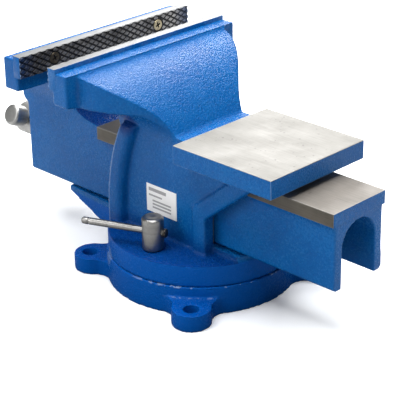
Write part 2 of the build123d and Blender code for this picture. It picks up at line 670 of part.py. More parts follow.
# ================================================================ screw, handle and nut
screw_axis = Axis((0, 0, axis_z), (1, 0, 0))
head_x = SLIDE_FRONT_X + SEAT_GAP + WASHER_THICKNESS
head_end_x = head_x + HEAD_LENGTH
handle_x = head_end_x - HANDLE_HOLE_FROM_END
spring_front_x = inner_wall_x - SEAT_GAP - WASHER_THICKNESS
spring_rear_x = spring_front_x - SPRING_LENGTH
pin_x = spring_rear_x - WASHER_THICKNESS - PIN_RADIUS
handle_dir = (0, cos(radians(HANDLE_TILT)), sin(radians(HANDLE_TILT)))
handle_plane = Plane(origin=(handle_x, 0, axis_z), x_dir=(1, 0, 0), z_dir=handle_dir)
pin_plane = Plane(origin=(pin_x, 0, axis_z), x_dir=(1, 0, 0), z_dir=(0, 1, 0))

with BuildPart() as main_screw:
    with BuildSketch(Plane(origin=(0, 0, axis_z), x_dir=(1, 0, 0), z_dir=(0, -1, 0))) as screw_section:
        with BuildLine():
            Polyline(
                (SCREW_REAR_X, 0),
                (SCREW_REAR_X, SCREW_RADIUS),
                (head_x, SCREW_RADIUS),
                (head_x, HEAD_RADIUS),
                (head_end_x, HEAD_RADIUS),
                (head_end_x, 0),
                close=True,
            )
        make_face()
        rim = screw_section.vertices().filter_by(lambda v: v.Y > 0).sort_by(Axis.X)
        chamfer([rim[0], rim[-1]], HEAD_EDGE)
    revolve(axis=screw_axis)
    with BuildSketch(handle_plane):
        Circle(HANDLE_RADIUS + RUNNING_FIT)
    extrude(amount=2 * HEAD_RADIUS, both=True, mode=Mode.SUBTRACT)
    with BuildSketch(pin_plane):
        Circle(PIN_RADIUS + RUNNING_FIT)
    extrude(amount=2 * SCREW_RADIUS, both=True, mode=Mode.SUBTRACT)
save(main_screw, "main_screw")

for name, rear_x, radius in (
    ("thrust_washer", head_x - WASHER_THICKNESS, THRUST_WASHER_RADIUS),
    ("spring_washer", spring_front_x, SPRING_WASHER_RADIUS),
    ("retaining_washer", spring_rear_x - WASHER_THICKNESS, SPRING_WASHER_RADIUS),
):
    with BuildPart() as washer:
        with BuildSketch(Plane.YZ.offset(rear_x)):
            with Locations((0, axis_z)):
                Circle(radius)
                Circle(SCREW_RADIUS + BOLT_CLEARANCE, mode=Mode.SUBTRACT)
        extrude(amount=WASHER_THICKNESS)
    save(washer, name)

with BuildPart() as take_up_spring:
    coil_length = SPRING_LENGTH - SPRING_WIRE
    with BuildLine() as coil:
        Helix(
            pitch=coil_length / SPRING_TURNS,
            height=coil_length,
            radius=SPRING_RADIUS,
            center=(spring_rear_x + SPRING_WIRE / 2, 0, axis_z),
            direction=(1, 0, 0),
        )
    with BuildSketch(Plane(origin=coil.line @ 0, z_dir=coil.line % 0)):
        Circle(SPRING_WIRE / 2)
    sweep()
save(take_up_spring, "take_up_spring")

with BuildPart() as split_pin:
    with BuildSketch(pin_plane):
        Circle(PIN_RADIUS)
    extrude(amount=PIN_REACH, both=True)
    with BuildSketch(Plane.XY.offset(axis_z)):
        with Locations((pin_x, PIN_REACH + 2 * PIN_EYE_RADIUS)):
            Circle(PIN_WIRE / 2)
    revolve(axis=Axis((pin_x, PIN_REACH + PIN_EYE_RADIUS, axis_z), (1, 0, 0)))
save(split_pin, "split_pin")

with BuildPart() as main_nut:
    with BuildSketch(Plane.YZ.offset(NUT_REAR_X)):
        with Locations((0, axis_z)):
            Circle(NUT_WIDTH / 2)
        with Locations((0, (rail_top + axis_z) / 2)):
            Rectangle(NUT_WIDTH, axis_z - rail_top)
        with Locations((0, axis_z)):
            Circle(SCREW_RADIUS + RUNNING_FIT, mode=Mode.SUBTRACT)
    extrude(amount=NUT_LENGTH)
    with BuildSketch(Plane.XY.offset(rail_top)):
        with Locations(*[(x, 0) for x in nut_spots]):
            Circle(NUT_BOLT_RADIUS + THREAD_FIT)
    extrude(amount=NUT_BOLT_REACH + BOLT_CLEARANCE, mode=Mode.SUBTRACT)
save(main_nut, "main_nut")

washer_top = flange_bottom + counterbore_depth
head_top = washer_top - BOLT_WASHER_THICKNESS
with BuildPart() as nut_bolts:
    with BuildSketch(Plane.XY.offset(head_top - HEX_HEIGHT)):
        with Locations(*[(x, 0) for x in nut_spots]):
            RegularPolygon(HEX_ACROSS_FLATS / 2, 6, major_radius=False)
    extrude(amount=HEX_HEIGHT)
    with BuildSketch(Plane.XY.offset(head_top)):
        with Locations(*[(x, 0) for x in nut_spots]):
            Circle(NUT_BOLT_RADIUS)
    extrude(amount=rail_top + NUT_BOLT_REACH - head_top)
save(nut_bolts, "nut_bolts")

with BuildPart() as nut_bolt_washers:
    with BuildSketch(Plane.XY.offset(head_top)):
        with Locations(*[(x, 0) for x in nut_spots]):
            Circle(BOLT_WASHER_RADIUS)
            Circle(NUT_BOLT_RADIUS + BOLT_CLEARANCE / 2, mode=Mode.SUBTRACT)
    extrude(amount=BOLT_WASHER_THICKNESS)
save(nut_bolt_washers, "nut_bolt_washers")

# ---------------------------------------------------------------- handle
low_reach = HANDLE_UP_REACH - HANDLE_LENGTH
knob_wall = KNOB_LENGTH - KNOB_SEAT
with BuildPart() as handle_bar:
    with BuildSketch(handle_plane.offset(low_reach + knob_wall)):
        Circle(HANDLE_RADIUS)
    extrude(amount=HANDLE_LENGTH - 2 * knob_wall)
save(handle_bar, "handle_bar")

for name, end, inward in (
    ("handle_knob_upper", HANDLE_UP_REACH, -1),
    ("handle_knob_lower", low_reach, 1),
):
    with BuildPart() as knob:
        with BuildSketch(handle_plane.offset(end)):
            Circle(KNOB_RADIUS)
        extrude(amount=inward * KNOB_LENGTH)
        fillet(knob.edges(), KNOB_ROUND)
        with BuildSketch(handle_plane.offset(end + inward * knob_wall)):
            Circle(HANDLE_RADIUS + THREAD_FIT)
        extrude(amount=inward * KNOB_SEAT, mode=Mode.SUBTRACT)
    save(knob, name)

# ================================================================ swivel locks, one on each side
lock_head_top = slot_roof - SEAT_GAP
lock_nut_z = flange_top + SEAT_GAP
bar_z = flange_top + LOCK_BAR_HEIGHT
for name, side in (("left", 1), ("right", -1)):
    with BuildPart() as lock_bolt:
        with BuildSketch(Plane.XY.offset(lock_head_top - LOCK_HEAD_HEIGHT)):
            with Locations((LOCK_X, side * lock_y)):
                Rectangle(LOCK_HEAD_SIZE, LOCK_HEAD_SIZE, rotation=side * degrees(atan2(lock_y, LOCK_X)))
        extrude(amount=LOCK_HEAD_HEIGHT)
        with BuildSketch(Plane.XY.offset(lock_head_top)):
            with Locations((LOCK_X, side * lock_y)):
                Circle(LOCK_BOLT_RADIUS)
        extrude(amount=lock_nut_z + LOCK_THREAD_DEPTH - BOLT_CLEARANCE - lock_head_top)
    save(lock_bolt, f"lock_bolt_{name}")

    turn = side * LOCK_BAR_ANGLE
    bar_dir = (cos(radians(turn)), sin(radians(turn)), 0)
    bar_plane = Plane(origin=(LOCK_X, side * lock_y, bar_z), x_dir=(0, 0, 1), z_dir=bar_dir)
    with BuildPart() as lock_nut:
        with BuildSketch(Plane.XY.offset(lock_nut_z)):
            with Locations((LOCK_X, side * lock_y)):
                Circle(LOCK_NUT_RADIUS)
        extrude(amount=LOCK_NUT_HEIGHT)
        chamfer(lock_nut.edges().filter_by(GeomType.CIRCLE), LOCK_NUT_EDGE)
        with BuildSketch(Plane.XY.offset(lock_nut_z)):
            with Locations((LOCK_X, side * lock_y)):
                Circle(LOCK_BOLT_RADIUS + THREAD_FIT)
        extrude(amount=LOCK_THREAD_DEPTH, mode=Mode.SUBTRACT)
        with BuildSketch(bar_plane):
            Circle(LOCK_BAR_RADIUS + RUNNING_FIT)
        extrude(amount=2 * LOCK_NUT_RADIUS, both=True, mode=Mode.SUBTRACT)
    save(lock_nut, f"lock_nut_{name}")

    with BuildPart() as lock_bar:
        stub_x = LOCK_NUT_RADIUS + BOLT_CLEARANCE
        groove_x = LOCK_BAR_REACH - LOCK_CAP_LENGTH
        with BuildSketch(bar_plane.offset(-stub_x)):
            Circle(LOCK_BAR_RADIUS)
        extrude(amount=LOCK_BAR_REACH + stub_x)
        fillet(lock_bar.edges().group_by(Axis.X)[-1], LOCK_BAR_RADIUS / 2)
        with BuildSketch(bar_plane.offset(-stub_x)):
            Circle(LOCK_STUB_RADIUS)
        extrude(amount=-LOCK_STUB_LENGTH)
        with BuildSketch(bar_plane.offset(groove_x)):
            Circle(LOCK_BAR_RADIUS)
            Circle(LOCK_BAR_RADIUS - LOCK_GROOVE / 2, mode=Mode.SUBTRACT)
        extrude(amount=-LOCK_GROOVE, mode=Mode.SUBTRACT)
    save(lock_bar, f"lock_bar_{name}")

    with BuildPart() as label:
        with BuildSketch(Plane.XZ.offset(-side * body_side)):
            with Locations((LABEL_X, flange_top + LABEL_RISE + LABEL_HEIGHT / 2)):
                Rectangle(LABEL_LENGTH, LABEL_HEIGHT)
        extrude(amount=-side * LABEL_THICKNESS)
    save(label, f"label_{name}")
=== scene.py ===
"""Bench vise with a swivel base: its visible pieces, their finishes and a plain studio."""

import json
from math import ceil, cos, hypot, pi, radians, sin, tan

import bpy
from mathutils import Matrix, Vector

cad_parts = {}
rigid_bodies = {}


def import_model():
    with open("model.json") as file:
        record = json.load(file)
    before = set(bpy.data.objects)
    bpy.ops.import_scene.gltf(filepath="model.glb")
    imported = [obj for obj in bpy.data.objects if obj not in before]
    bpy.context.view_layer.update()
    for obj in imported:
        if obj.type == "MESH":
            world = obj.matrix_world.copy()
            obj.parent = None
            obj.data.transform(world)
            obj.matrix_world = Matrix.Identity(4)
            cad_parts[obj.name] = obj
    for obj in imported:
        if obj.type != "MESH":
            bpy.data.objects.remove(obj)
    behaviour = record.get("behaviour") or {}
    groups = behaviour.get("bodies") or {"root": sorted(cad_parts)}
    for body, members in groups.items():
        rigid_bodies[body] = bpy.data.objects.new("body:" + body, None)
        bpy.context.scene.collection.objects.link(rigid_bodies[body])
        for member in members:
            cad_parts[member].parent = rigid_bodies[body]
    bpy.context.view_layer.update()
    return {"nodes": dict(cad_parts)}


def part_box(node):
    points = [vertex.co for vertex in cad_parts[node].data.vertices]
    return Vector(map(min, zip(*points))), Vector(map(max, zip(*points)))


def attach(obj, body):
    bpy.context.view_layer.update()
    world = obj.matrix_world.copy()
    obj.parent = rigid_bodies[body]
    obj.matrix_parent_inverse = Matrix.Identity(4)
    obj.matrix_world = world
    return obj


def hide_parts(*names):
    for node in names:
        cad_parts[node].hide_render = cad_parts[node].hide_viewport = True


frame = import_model()

bl_info = {
    "name": "Bench vise",
    "version": (1, 0, 0),
    "blender": (4, 5, 0),
    "location": "View3D > Sidebar > Vise",
    "description": "Models the visible pieces of a cast bench vise around its frame",
    "category": "Add Mesh",
}

MM = 0.001
X_AXIS = Vector((1, 0, 0))
Y_AXIS = Vector((0, 1, 0))
Z_AXIS = Vector((0, 0, 1))


# ================================================================ places
def middle_of(node):
    """Centre of a node's box."""
    return sum(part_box(node), Vector()) / 2


def half_of(node):
    """Half the size of a node's box."""
    low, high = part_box(node)
    return (high - low) / 2


base_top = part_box("base_plate")[1].z
body_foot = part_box("swivel_body")[0].z
slide_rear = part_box("moving_jaw")[0].x
screw_low, screw_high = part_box("main_screw")
screw_axis = middle_of("thrust_washer")
screw_axis.x = 0
handle_way = (middle_of("handle_knob_upper") - middle_of("handle_knob_lower")).normalized()

BASE_RADIUS = 83.5 * MM
SPIGOT_REACH = 8.2 * MM         # bare metal below the top of the spigot
FLANGE_TOP = 44.5 * MM
PARTING = 24.6 * MM             # line between the base and the flange
EAR_TOP = 15.4 * MM
RIB_POCKET = Vector((41, 48, 141.5)) * MM      # hollow above the rib, darkened as a painted shadow under the wing
RIB_FRONT = 66.5 * MM
RIB_BEND = 58 * MM              # height where the rib's front starts to lean back
RIB_BEND_RADIUS = 185 * MM
RIB_SIDE = 47 * MM              # outer face of the rib from the middle plane
BODY_SIDE = 33 * MM
PALE_PATCH = Vector((45, 70, 25)) * MM             # pale patch on the edge of the base
SLIDE_HALF_WIDTH = 32 * MM
SLIDE_TOP = 119.1 * MM
STRIP_HEIGHT = 11.8 * MM
STRIP_FRONT = 96.4 * MM
ANVIL_LOW = Vector((-130.8, -57, 126)) * MM
ANVIL_HIGH = Vector((-24, 57, 142.6)) * MM
TUNNEL_HALF_WIDTH = 33 * MM
TUNNEL_BOTTOM = 52 * MM
TUNNEL_TOP = 119.6 * MM

RELIEF = 0.5 * MM               # how far a casting draws back under its machined part
SEAT_GROWTH = 1.5 * MM          # how far a casting reaches into its jaw plate
NEAR = 0.05 * MM                # closer than this is the same place
BARE_EDGE = 0.4 * MM            # enamel stops this far from a machined underside
TRIANGLE_LIMIT = 190000         # of one casting
SKIN_SIZE = 4 * MM              # of the lumps of the cast skin
WELD = 0.002 * MM               # vertices nearer than this are merged
FINE_WELD = 0.001 * MM

# A jaw, the body it belongs to, and the way its plate faces along X.
JAWS = (("fixed", "swivel", 1), ("moving", "jaw", -1))
KNURL_BORDER = 0.3 * MM         # plain edge round the knurl
HEAD_GAP = 0.7 * MM             # between a plate screw's head and its countersink

SCREW_RADIUS = 11 * MM
HEAD_START = 196.1 * MM         # rear face of the screw's head
HANDLE_BORE = 6.05 * MM
PIN_BORE = 2.05 * MM
WASHER_BORE = 11.5 * MM
SPRING_TURNS = 4
SPRING_WIRE = 1.3 * MM
PIN_REACH = 13 * MM
EYE_RADIUS = 2.4 * MM
KNOB_HALF_LENGTH = 8 * MM
KNOB_WALL = 4 * MM
LOCK_ANGLE = radians(22.4)      # of a lock's bar from the X axis
LOCK_BORE = 5.05 * MM
LOCK_EDGE = 1.3 * MM
LOCK_BAR_RADIUS = 3.1 * MM
LOCK_BAR_BORE = 3.25 * MM
LOCK_BAR_REACH = 66 * MM
LOCK_BAR_STUB = 9.85 * MM       # where the thick stub starts, behind the nut
NUT_BOLT_RADIUS = 5 * MM

# Specular level of the enamels; the base is dulled by dust.
GLOSS = {"casting enamel": 0.155, "base enamel": 0.07}


# ================================================================ settings
class ViseEnamel(bpy.types.PropertyGroup):
    """Paint of the castings."""

    deep: bpy.props.FloatVectorProperty(
        name="Deep blue", description="Enamel where it lies thick", subtype="COLOR",
        size=4, min=0, max=1, default=(0.0008, 0.083, 0.305, 1))
    light: bpy.props.FloatVectorProperty(
        name="Light blue", description="Enamel where it has run thin on the humps", subtype="COLOR",
        size=4, min=0, max=1, default=(0.002, 0.124, 0.385, 1))
    low: bpy.props.FloatVectorProperty(
        name="Low blue", description="Enamel of the base and the flange", subtype="COLOR",
        size=4, min=0, max=1, default=(0.0003, 0.088, 0.41, 1))
    # Pale blue of rubbed edges, which also serves as a painted highlight along sharp edges.
    rubbed_and_highlit: bpy.props.FloatVectorProperty(
        name="Rubbed and highlit edge", description="What shows where an edge is rubbed", subtype="COLOR",
        size=4, min=0, max=1, default=(0.30, 0.42, 0.60, 1))


class ViseMetals(bpy.types.PropertyGroup):
    """Bare metals."""

    machined: bpy.props.FloatVectorProperty(
        name="Machined iron", description="Milled faces of the castings", subtype="COLOR",
        size=4, min=0, max=1, default=(0.196, 0.187, 0.163, 1))
    turned: bpy.props.FloatVectorProperty(
        name="Turned steel", description="Screw, its washers and the handle", subtype="COLOR",
        size=4, min=0, max=1, default=(0.42, 0.42, 0.41, 1))
    oiled: bpy.props.FloatVectorProperty(
        name="Oiled steel", description="Lock nuts and bars, bolts and their washers", subtype="COLOR",
        size=4, min=0, max=1, default=(0.32, 0.315, 0.305, 1))
    black: bpy.props.FloatVectorProperty(
        name="Blackened steel", description="Grooves and sides of the jaw plates", subtype="COLOR",
        size=4, min=0, max=1, default=(0.012, 0.012, 0.014, 1))
    brass: bpy.props.FloatVectorProperty(
        name="Yellow zinc", description="Plating of the plate screws", subtype="COLOR",
        size=4, min=0, max=1, default=(0.66, 0.56, 0.36, 1))


class ViseSizes(bpy.types.PropertyGroup):
    """Sizes of the detail that the frame does not carry."""

    casting_cell: bpy.props.FloatProperty(
        name="Casting cell", description="Cell of the mesh of a casting", unit="LENGTH",
        min=0.0008, max=0.004, default=0.0013)
    skin_depth: bpy.props.FloatProperty(
        name="Skin depth", description="Depth of the humps of the cast skin", unit="LENGTH",
        min=0, max=0.001, default=0.00012)
    knurl_length: bpy.props.FloatProperty(
        name="Knurl length", description="Pitch of the diamonds along a jaw plate", unit="LENGTH",
        min=0.004, max=0.02, default=0.00915)
    knurl_height: bpy.props.FloatProperty(
        name="Knurl height", description="Pitch of the diamonds up a jaw plate", unit="LENGTH",
        min=0.003, max=0.01, default=0.00533)
    knurl_depth: bpy.props.FloatProperty(
        name="Knurl depth", description="Depth of the knurl's grooves", unit="LENGTH",
        min=0.0002, max=0.002, default=0.0009)
    thread_pitch: bpy.props.FloatProperty(
        name="Thread pitch", description="Pitch of the main screw", unit="LENGTH",
        min=0.002, max=0.01, default=0.005)
    thread_depth: bpy.props.FloatProperty(
        name="Thread depth", description="Depth of the main screw's thread", unit="LENGTH",
        min=0.001, max=0.004, default=0.0022)


# ================================================================ shader helpers
def feed(tree, socket, value):
    """Link a socket to another, or give it a plain value."""
    if isinstance(value, bpy.types.NodeSocket):
        tree.links.new(value, socket)
    else:
        socket.default_value = value


def place(tree, kind, inputs=None, **settings):
    """A node with its settings made and its inputs fed, by name or by number."""
    made = tree.nodes.new(kind)
    for key, value in settings.items():
        setattr(made, key, value)
    for key, value in (inputs or {}).items():
        feed(tree, made.inputs[key], value)
    return made


def maths(tree, operation, *values):
    """One step of arithmetic."""
    return place(tree, "ShaderNodeMath", dict(enumerate(values)), operation=operation).outputs[0]


def product(tree, first, *others):
    """Several values multiplied."""
    for other in others:
        first = maths(tree, "MULTIPLY", first, other)
    return first


def largest(tree, first, *others):
    """The largest of several values."""
    for other in others:
        first = maths(tree, "MAXIMUM", first, other)
    return first


def weighed(tree, first, share, second):
    """The sum of two values, the first by its share and the second by the rest."""
    return maths(tree, "ADD", product(tree, first, share), product(tree, second, 1 - share))


def vector_maths(tree, operation, *vectors):
    """One step of vector arithmetic: its outputs, Vector and Value."""
    return place(tree, "ShaderNodeVectorMath", dict(enumerate(vectors)), operation=operation).outputs


def split(tree, vector):
    """The X, Y and Z of a vector."""
    return place(tree, "ShaderNodeSeparateXYZ", {"Vector": vector}).outputs


def combine(tree, x, y, z):
    """A vector of three values."""
    return place(tree, "ShaderNodeCombineXYZ", {"X": x, "Y": y, "Z": z}).outputs[0]


def spread(tree, value, low, high, to_low=0.0, to_high=1.0):
    """A value carried from one range to another, held inside it."""
    inputs = {"Value": value, "From Min": low, "From Max": high, "To Min": to_low, "To Max": to_high}
    return place(tree, "ShaderNodeMapRange", inputs).outputs["Result"]


def window(tree, value, rise, full, fade, end):
    """1 from full to fade, and nothing below rise or above end."""
    return product(tree, spread(tree, value, rise, full), spread(tree, value, end, fade))


def blend_colour(tree, share, first, second):
    """Colour between two others."""
    return place(tree, "ShaderNodeMix", {0: share, 6: first, 7: second}, data_type="RGBA").outputs[2]


def noise(tree, vector, scale, detail=2.0, roughness=0.5):
    """Soft noise between 0 and 1."""
    inputs = {"Vector": vector, "Scale": scale, "Detail": detail, "Roughness": roughness}
    return place(tree, "ShaderNodeTexNoise", inputs).outputs[0]


def toned(tint, share):
    """A colour made darker or brighter, and opaque."""
    return tuple(min(1.0, share * channel) for channel in tint[:3]) + (1,)


def bump(tree, shader, height, depth):
    """Height fed through a Bump node to the shader; depth in metres."""
    made = place(tree, "ShaderNodeBump", {"Height": height, "Distance": depth})
    tree.links.new(made.outputs[0], shader.inputs["Normal"])


def node_group(name, inputs, outputs):
    """Turn a function that draws nodes into one that gives their group, drawn only once.

    An input with a default is a number, and one without is a vector.  Outputs are numbers.
    """
    def decorate(draw):
        def group():
            if name in bpy.data.node_groups:
                return bpy.data.node_groups[name]
            tree = bpy.data.node_groups.new(name, "ShaderNodeTree")
            for label, default in inputs.items():
                kind = "NodeSocketVector" if default is None else "NodeSocketFloat"
                socket = tree.interface.new_socket(label, in_out="INPUT", socket_type=kind)
                if default is not None:
                    socket.default_value = default
            for label in outputs:
                tree.interface.new_socket(label, in_out="OUTPUT", socket_type="NodeSocketFloat")
            draw(tree, tree.nodes.new("NodeGroupInput").outputs, tree.nodes.new("NodeGroupOutput").inputs)
            return tree
        return group
    return decorate


def use_group(tree, group, **inputs):
    """A node group placed in a material; its outputs."""
    named = {key.replace("_", " "): value for key, value in inputs.items()}
    return place(tree, "ShaderNodeGroup", named, node_tree=group()).outputs


@node_group("Cast skin",
            {"Vector": None, "Hump Scale": 620.0, "Grain Scale": 1300.0, "Grain Share": 0.6},
            ("Height", "Mottle"))
def cast_skin(tree, given, out):
    """Orange-peel skin of an iron casting under enamel."""
    humps = noise(tree, given["Vector"], given["Hump Scale"], 2.0, 0.45)
    grain = noise(tree, given["Vector"], given["Grain Scale"], 2.0, 0.55)
    cells = place(tree, "ShaderNodeTexVoronoi", {"Vector": given["Vector"], "Scale": given["Grain Scale"]},
                  feature="SMOOTH_F1").outputs["Distance"]
    fine = product(tree, weighed(tree, grain, 0.6, cells), given["Grain Share"])
    feed(tree, out["Height"], maths(tree, "ADD", humps, fine))
    patches = noise(tree, given["Vector"], 26.0, 3.0, 0.55)
    feed(tree, out["Mottle"], weighed(tree, humps, 0.55, patches))


@node_group("Edges and hollows",
            {"Vector": None, "Start": 0.53, "Full": 0.60, "Break Scale": 70.0, "Break": 0.10},
            ("Edge", "Hollow"))
def edges_and_hollows(tree, given, out):
    """Masks of proud edges, broken up along their length, which get rubbed paint and a painted highlight, and
    of hollows, which get painted shade.
    """
    pointed = place(tree, "ShaderNodeNewGeometry").outputs["Pointiness"]
    broken = maths(tree, "SUBTRACT", noise(tree, given["Vector"], given["Break Scale"], 4.0, 0.6), 0.5)
    shifted = maths(tree, "ADD", pointed, product(tree, broken, given["Break"]))
    feed(tree, out["Edge"], spread(tree, shifted, given["Start"], given["Full"]))
    feed(tree, out["Hollow"], spread(tree, pointed, 0.50, 0.44))


@node_group("Marks of the castings",
            {"Vector": None, "Flange Top": FLANGE_TOP, "Parting": PARTING, "Ear Top": EAR_TOP,
             "Base Radius": BASE_RADIUS, "Hollow": 0.0, "Facing": None},
            ("Painted Shade", "Chips And Highlights"))
def marks(tree, given, out):
    """Marks that lie at one place of the castings: painted shade, and chips with painted highlights."""
    spot = split(tree, given["Vector"])
    aside = maths(tree, "ABSOLUTE", spot["Y"])
    facing = split(tree, given["Facing"])

    # Painted shade on the flange and at the foot of the walls that stand on it, where the body and the anvil
    # shade them.
    above = maths(tree, "SUBTRACT", spot["Z"], given["Flange Top"])
    flange = product(tree, spread(tree, above, 18 * MM, 1 * MM), 0.75,
                     maths(tree, "GREATER_THAN", above, -0.8 * MM),
                     maths(tree, "GREATER_THAN", aside, BODY_SIDE))
    # Painted shade also at the foot of the web between the jaws, on faces that look along the slide.
    web = product(tree, window(tree, spot["X"], 94 * MM, 96 * MM, 126 * MM, 129 * MM),
                  window(tree, spot["Z"], 118 * MM, 118.8 * MM, 145 * MM, 160 * MM), 0.9,
                  spread(tree, maths(tree, "ABSOLUTE", facing["Y"]), 0.6, 0.3))
    # Painted shade on the tops of the ears.
    ears = product(tree, spread(tree, spot["Z"], 20 * MM, 18 * MM),
                   spread(tree, facing["Z"], 0.7, 0.95, 0.0, 0.35))
    # Painted shadow in the pocket above the rib, under the wing.
    mirrored = combine(tree, spot["X"], aside, spot["Z"])
    pocket = vector_maths(tree, "DISTANCE", mirrored, RIB_POCKET)["Value"]
    pocket = spread(tree, pocket, 13 * MM, 6 * MM, 0.0, 0.85)
    feed(tree, out["Painted Shade"], largest(tree, flange, web, ears, pocket))

    ragged = noise(tree, given["Vector"], 150.0, 5.0, 0.7)
    broad = noise(tree, given["Vector"], 16.0, 1.0, 0.4)
    ragged = maths(tree, "ADD", ragged, spread(tree, broad, 0.42, 0.60, -0.10, 0.06))

    # Pale chips and painted highlights follow the line under the flange and the tops of the ears, on the
    # anvil's side.
    lines = 0.0
    for level, half, wanted, share in (
        ("Parting", 0.7 * MM, 0.52, 1.0),
        ("Ear Top", 1.3 * MM, 0.46, given["Hollow"]),
    ):
        offset = maths(tree, "ABSOLUTE", maths(tree, "SUBTRACT", spot["Z"], given[level]))
        band = product(tree, spread(tree, offset, half, half / 2), share)
        lines = largest(tree, product(tree, band, spread(tree, ragged, wanted, wanted + 0.04)), lines)
    flat = combine(tree, spot["X"], spot["Y"], 0.0)
    reach = vector_maths(tree, "LENGTH", flat)["Value"]
    near_wall = maths(tree, "LESS_THAN", reach, maths(tree, "ADD", given["Base Radius"], 1.2 * MM))
    lines = product(tree, lines, near_wall, spread(tree, spot["X"], 10 * MM, -20 * MM))

    # A ragged pale patch on the edge of the base.
    pale_patch = vector_maths(tree, "DISTANCE", given["Vector"], PALE_PATCH)["Value"]
    pale_patch = maths(tree, "ADD", pale_patch, product(tree, ragged, -12 * MM))
    pale_patch = spread(tree, pale_patch, 3 * MM, 0.0, 0.0, 0.55)

    # A painted highlight runs along the front edge of the rib, along its whole bend.
    risen = largest(tree, maths(tree, "SUBTRACT", spot["Z"], RIB_BEND), 0.0)
    chord = maths(tree, "SQRT", maths(tree, "SUBTRACT", RIB_BEND_RADIUS ** 2, product(tree, risen, risen)))
    front = maths(tree, "SUBTRACT", maths(tree, "SUBTRACT", spot["X"], chord), RIB_FRONT - RIB_BEND_RADIUS)
    rib_highlight = product(tree, spread(tree, front, -2.4 * MM, -1.2 * MM),
                    spread(tree, aside, RIB_SIDE, RIB_SIDE + 1 * MM),
                    window(tree, spot["Z"], 44 * MM, 50 * MM, 136 * MM, 142 * MM),
                    spread(tree, ragged, 0.30, 0.50, 0.35, 0.8))
    feed(tree, out["Chips And Highlights"], product(tree, largest(tree, lines, pale_patch, rib_highlight), 0.62))


@node_group("Milled lines",
            {"Vector": None, "Line Scale": 900.0, "Pore Scale": 220.0, "Pore Size": 0.20},
            ("Height", "Shade", "Pores"))
def milled_lines(tree, given, out):
    """Milled iron: fine lines along X, pores and stains."""
    drawn = place(tree, "ShaderNodeMapping", {"Vector": given["Vector"], "Scale": (0.03, 1.0, 1.0)})
    lines = noise(tree, drawn.outputs[0], given["Line Scale"], 3.0, 0.6)
    stains = noise(tree, given["Vector"], 34.0, 4.0, 0.6)
    cells = place(tree, "ShaderNodeTexVoronoi", {"Vector": given["Vector"], "Scale": given["Pore Scale"]})
    sparse = spread(tree, noise(tree, given["Vector"], 55.0), 0.52, 0.66)
    pores = product(tree, maths(tree, "LESS_THAN", cells.outputs["Distance"], given["Pore Size"]), sparse)
    feed(tree, out["Pores"], pores)
    feed(tree, out["Height"], maths(tree, "SUBTRACT", lines, pores))
    feed(tree, out["Shade"], weighed(tree, lines, 0.4, stains))


@node_group("Lathe rings",
            {"Vector": None, "Ring Scale": 900.0, "Smudge Scale": 60.0},
            ("Height", "Shade"))
def lathe_rings(tree, given, out):
    """Marks of the lathe: rings round the Z axis of the vector that comes in."""
    spot = split(tree, given["Vector"])
    reach = maths(tree, "SQRT", maths(tree, "ADD", product(tree, spot["X"], spot["X"]),
                                      product(tree, spot["Y"], spot["Y"])))
    rings = noise(tree, combine(tree, reach, 0.0, spot["Z"]), given["Ring Scale"], 3.0, 0.65)
    smudge = noise(tree, given["Vector"], given["Smudge Scale"], 3.0, 0.6)
    feed(tree, out["Height"], rings)
    feed(tree, out["Shade"], weighed(tree, rings, 0.45, smudge))


# ================================================================ finishes
def new_material(name, **constants):
    """A material with a Principled shader: itself, its tree, the shader and its coordinates."""
    material = bpy.data.materials.new(name)
    material.use_nodes = True
    tree = material.node_tree
    shader = tree.nodes["Principled BSDF"]
    for key, value in constants.items():
        shader.inputs[key.replace("_", " ")].default_value = value
    return material, tree, shader, tree.nodes.new("ShaderNodeTexCoord").outputs


def made_once(make):
    """Turn a function that makes a material into one that makes it only once."""
    def find(name, *given, **settings):
        return bpy.data.materials.get(name) or make(name, *given, **settings)
    return find


@made_once
def enamel(name):
    """Glossy blue enamel on rough cast iron, rubbed on its edges, with painted shade in its hollows and
    painted highlights on its sharp edges.
    """
    paint = bpy.context.scene.vise_enamel
    material, tree, shader, coordinates = new_material(name, Metallic=0.0, Specular_IOR_Level=GLOSS[name])
    spot = coordinates["Object"]
    up = split(tree, coordinates["Normal"])["Z"]
    skin = use_group(tree, cast_skin, Vector=spot)
    shape_masks = use_group(tree, edges_and_hollows, Vector=spot, Start=0.565, Full=0.69)
    local = use_group(tree, marks, Vector=spot, Hollow=shape_masks["Hollow"], Facing=coordinates["Normal"])
    colour = blend_colour(tree, spread(tree, skin["Mottle"], 0.35, 0.68), tuple(paint.deep),
                          tuple(paint.light))
    low = spread(tree, split(tree, spot)["Z"], FLANGE_TOP + 0.7 * MM, FLANGE_TOP - 0.7 * MM, 0.0, 0.9)
    # Painted shade in hollows and creases and at the marked places where the vise shades itself.
    painted_shade = largest(tree, product(tree, shape_masks["Hollow"], 0.55), local["Painted Shade"])
    # Rubbed edges and chips, which also carry painted highlights along sharp edges, the ears' crease and the
    # rib's front edge.
    rubbed = largest(tree, product(tree, shape_masks["Edge"], 0.75), local["Chips And Highlights"])
    nicks = maths(tree, "GREATER_THAN", noise(tree, spot, 130.0, 4.0, 0.72), 0.735)
    # Over the mottled blue: the low blue under the flange top, painted shade, pale edges with painted
    # highlights, and dark nicks.
    for share, over in (
        (low, tuple(paint.low)), (painted_shade, (0.0002, 0.026, 0.165, 1)), (rubbed, tuple(paint.rubbed_and_highlit)),
        (product(tree, nicks, 0.8), (0.006, 0.020, 0.060, 1)),
    ):
        colour = blend_colour(tree, share, colour, over)
    feed(tree, shader.inputs["Base Color"], colour)
    feed(tree, shader.inputs["Roughness"], spread(tree, skin["Mottle"], 0.3, 0.7, 0.20, 0.32))
    coarse = spread(tree, up, 0.15, 0.75, 0.35, 1.0)
    bump(tree, shader, product(tree, skin["Height"], coarse), 1.3 * MM)
    return material


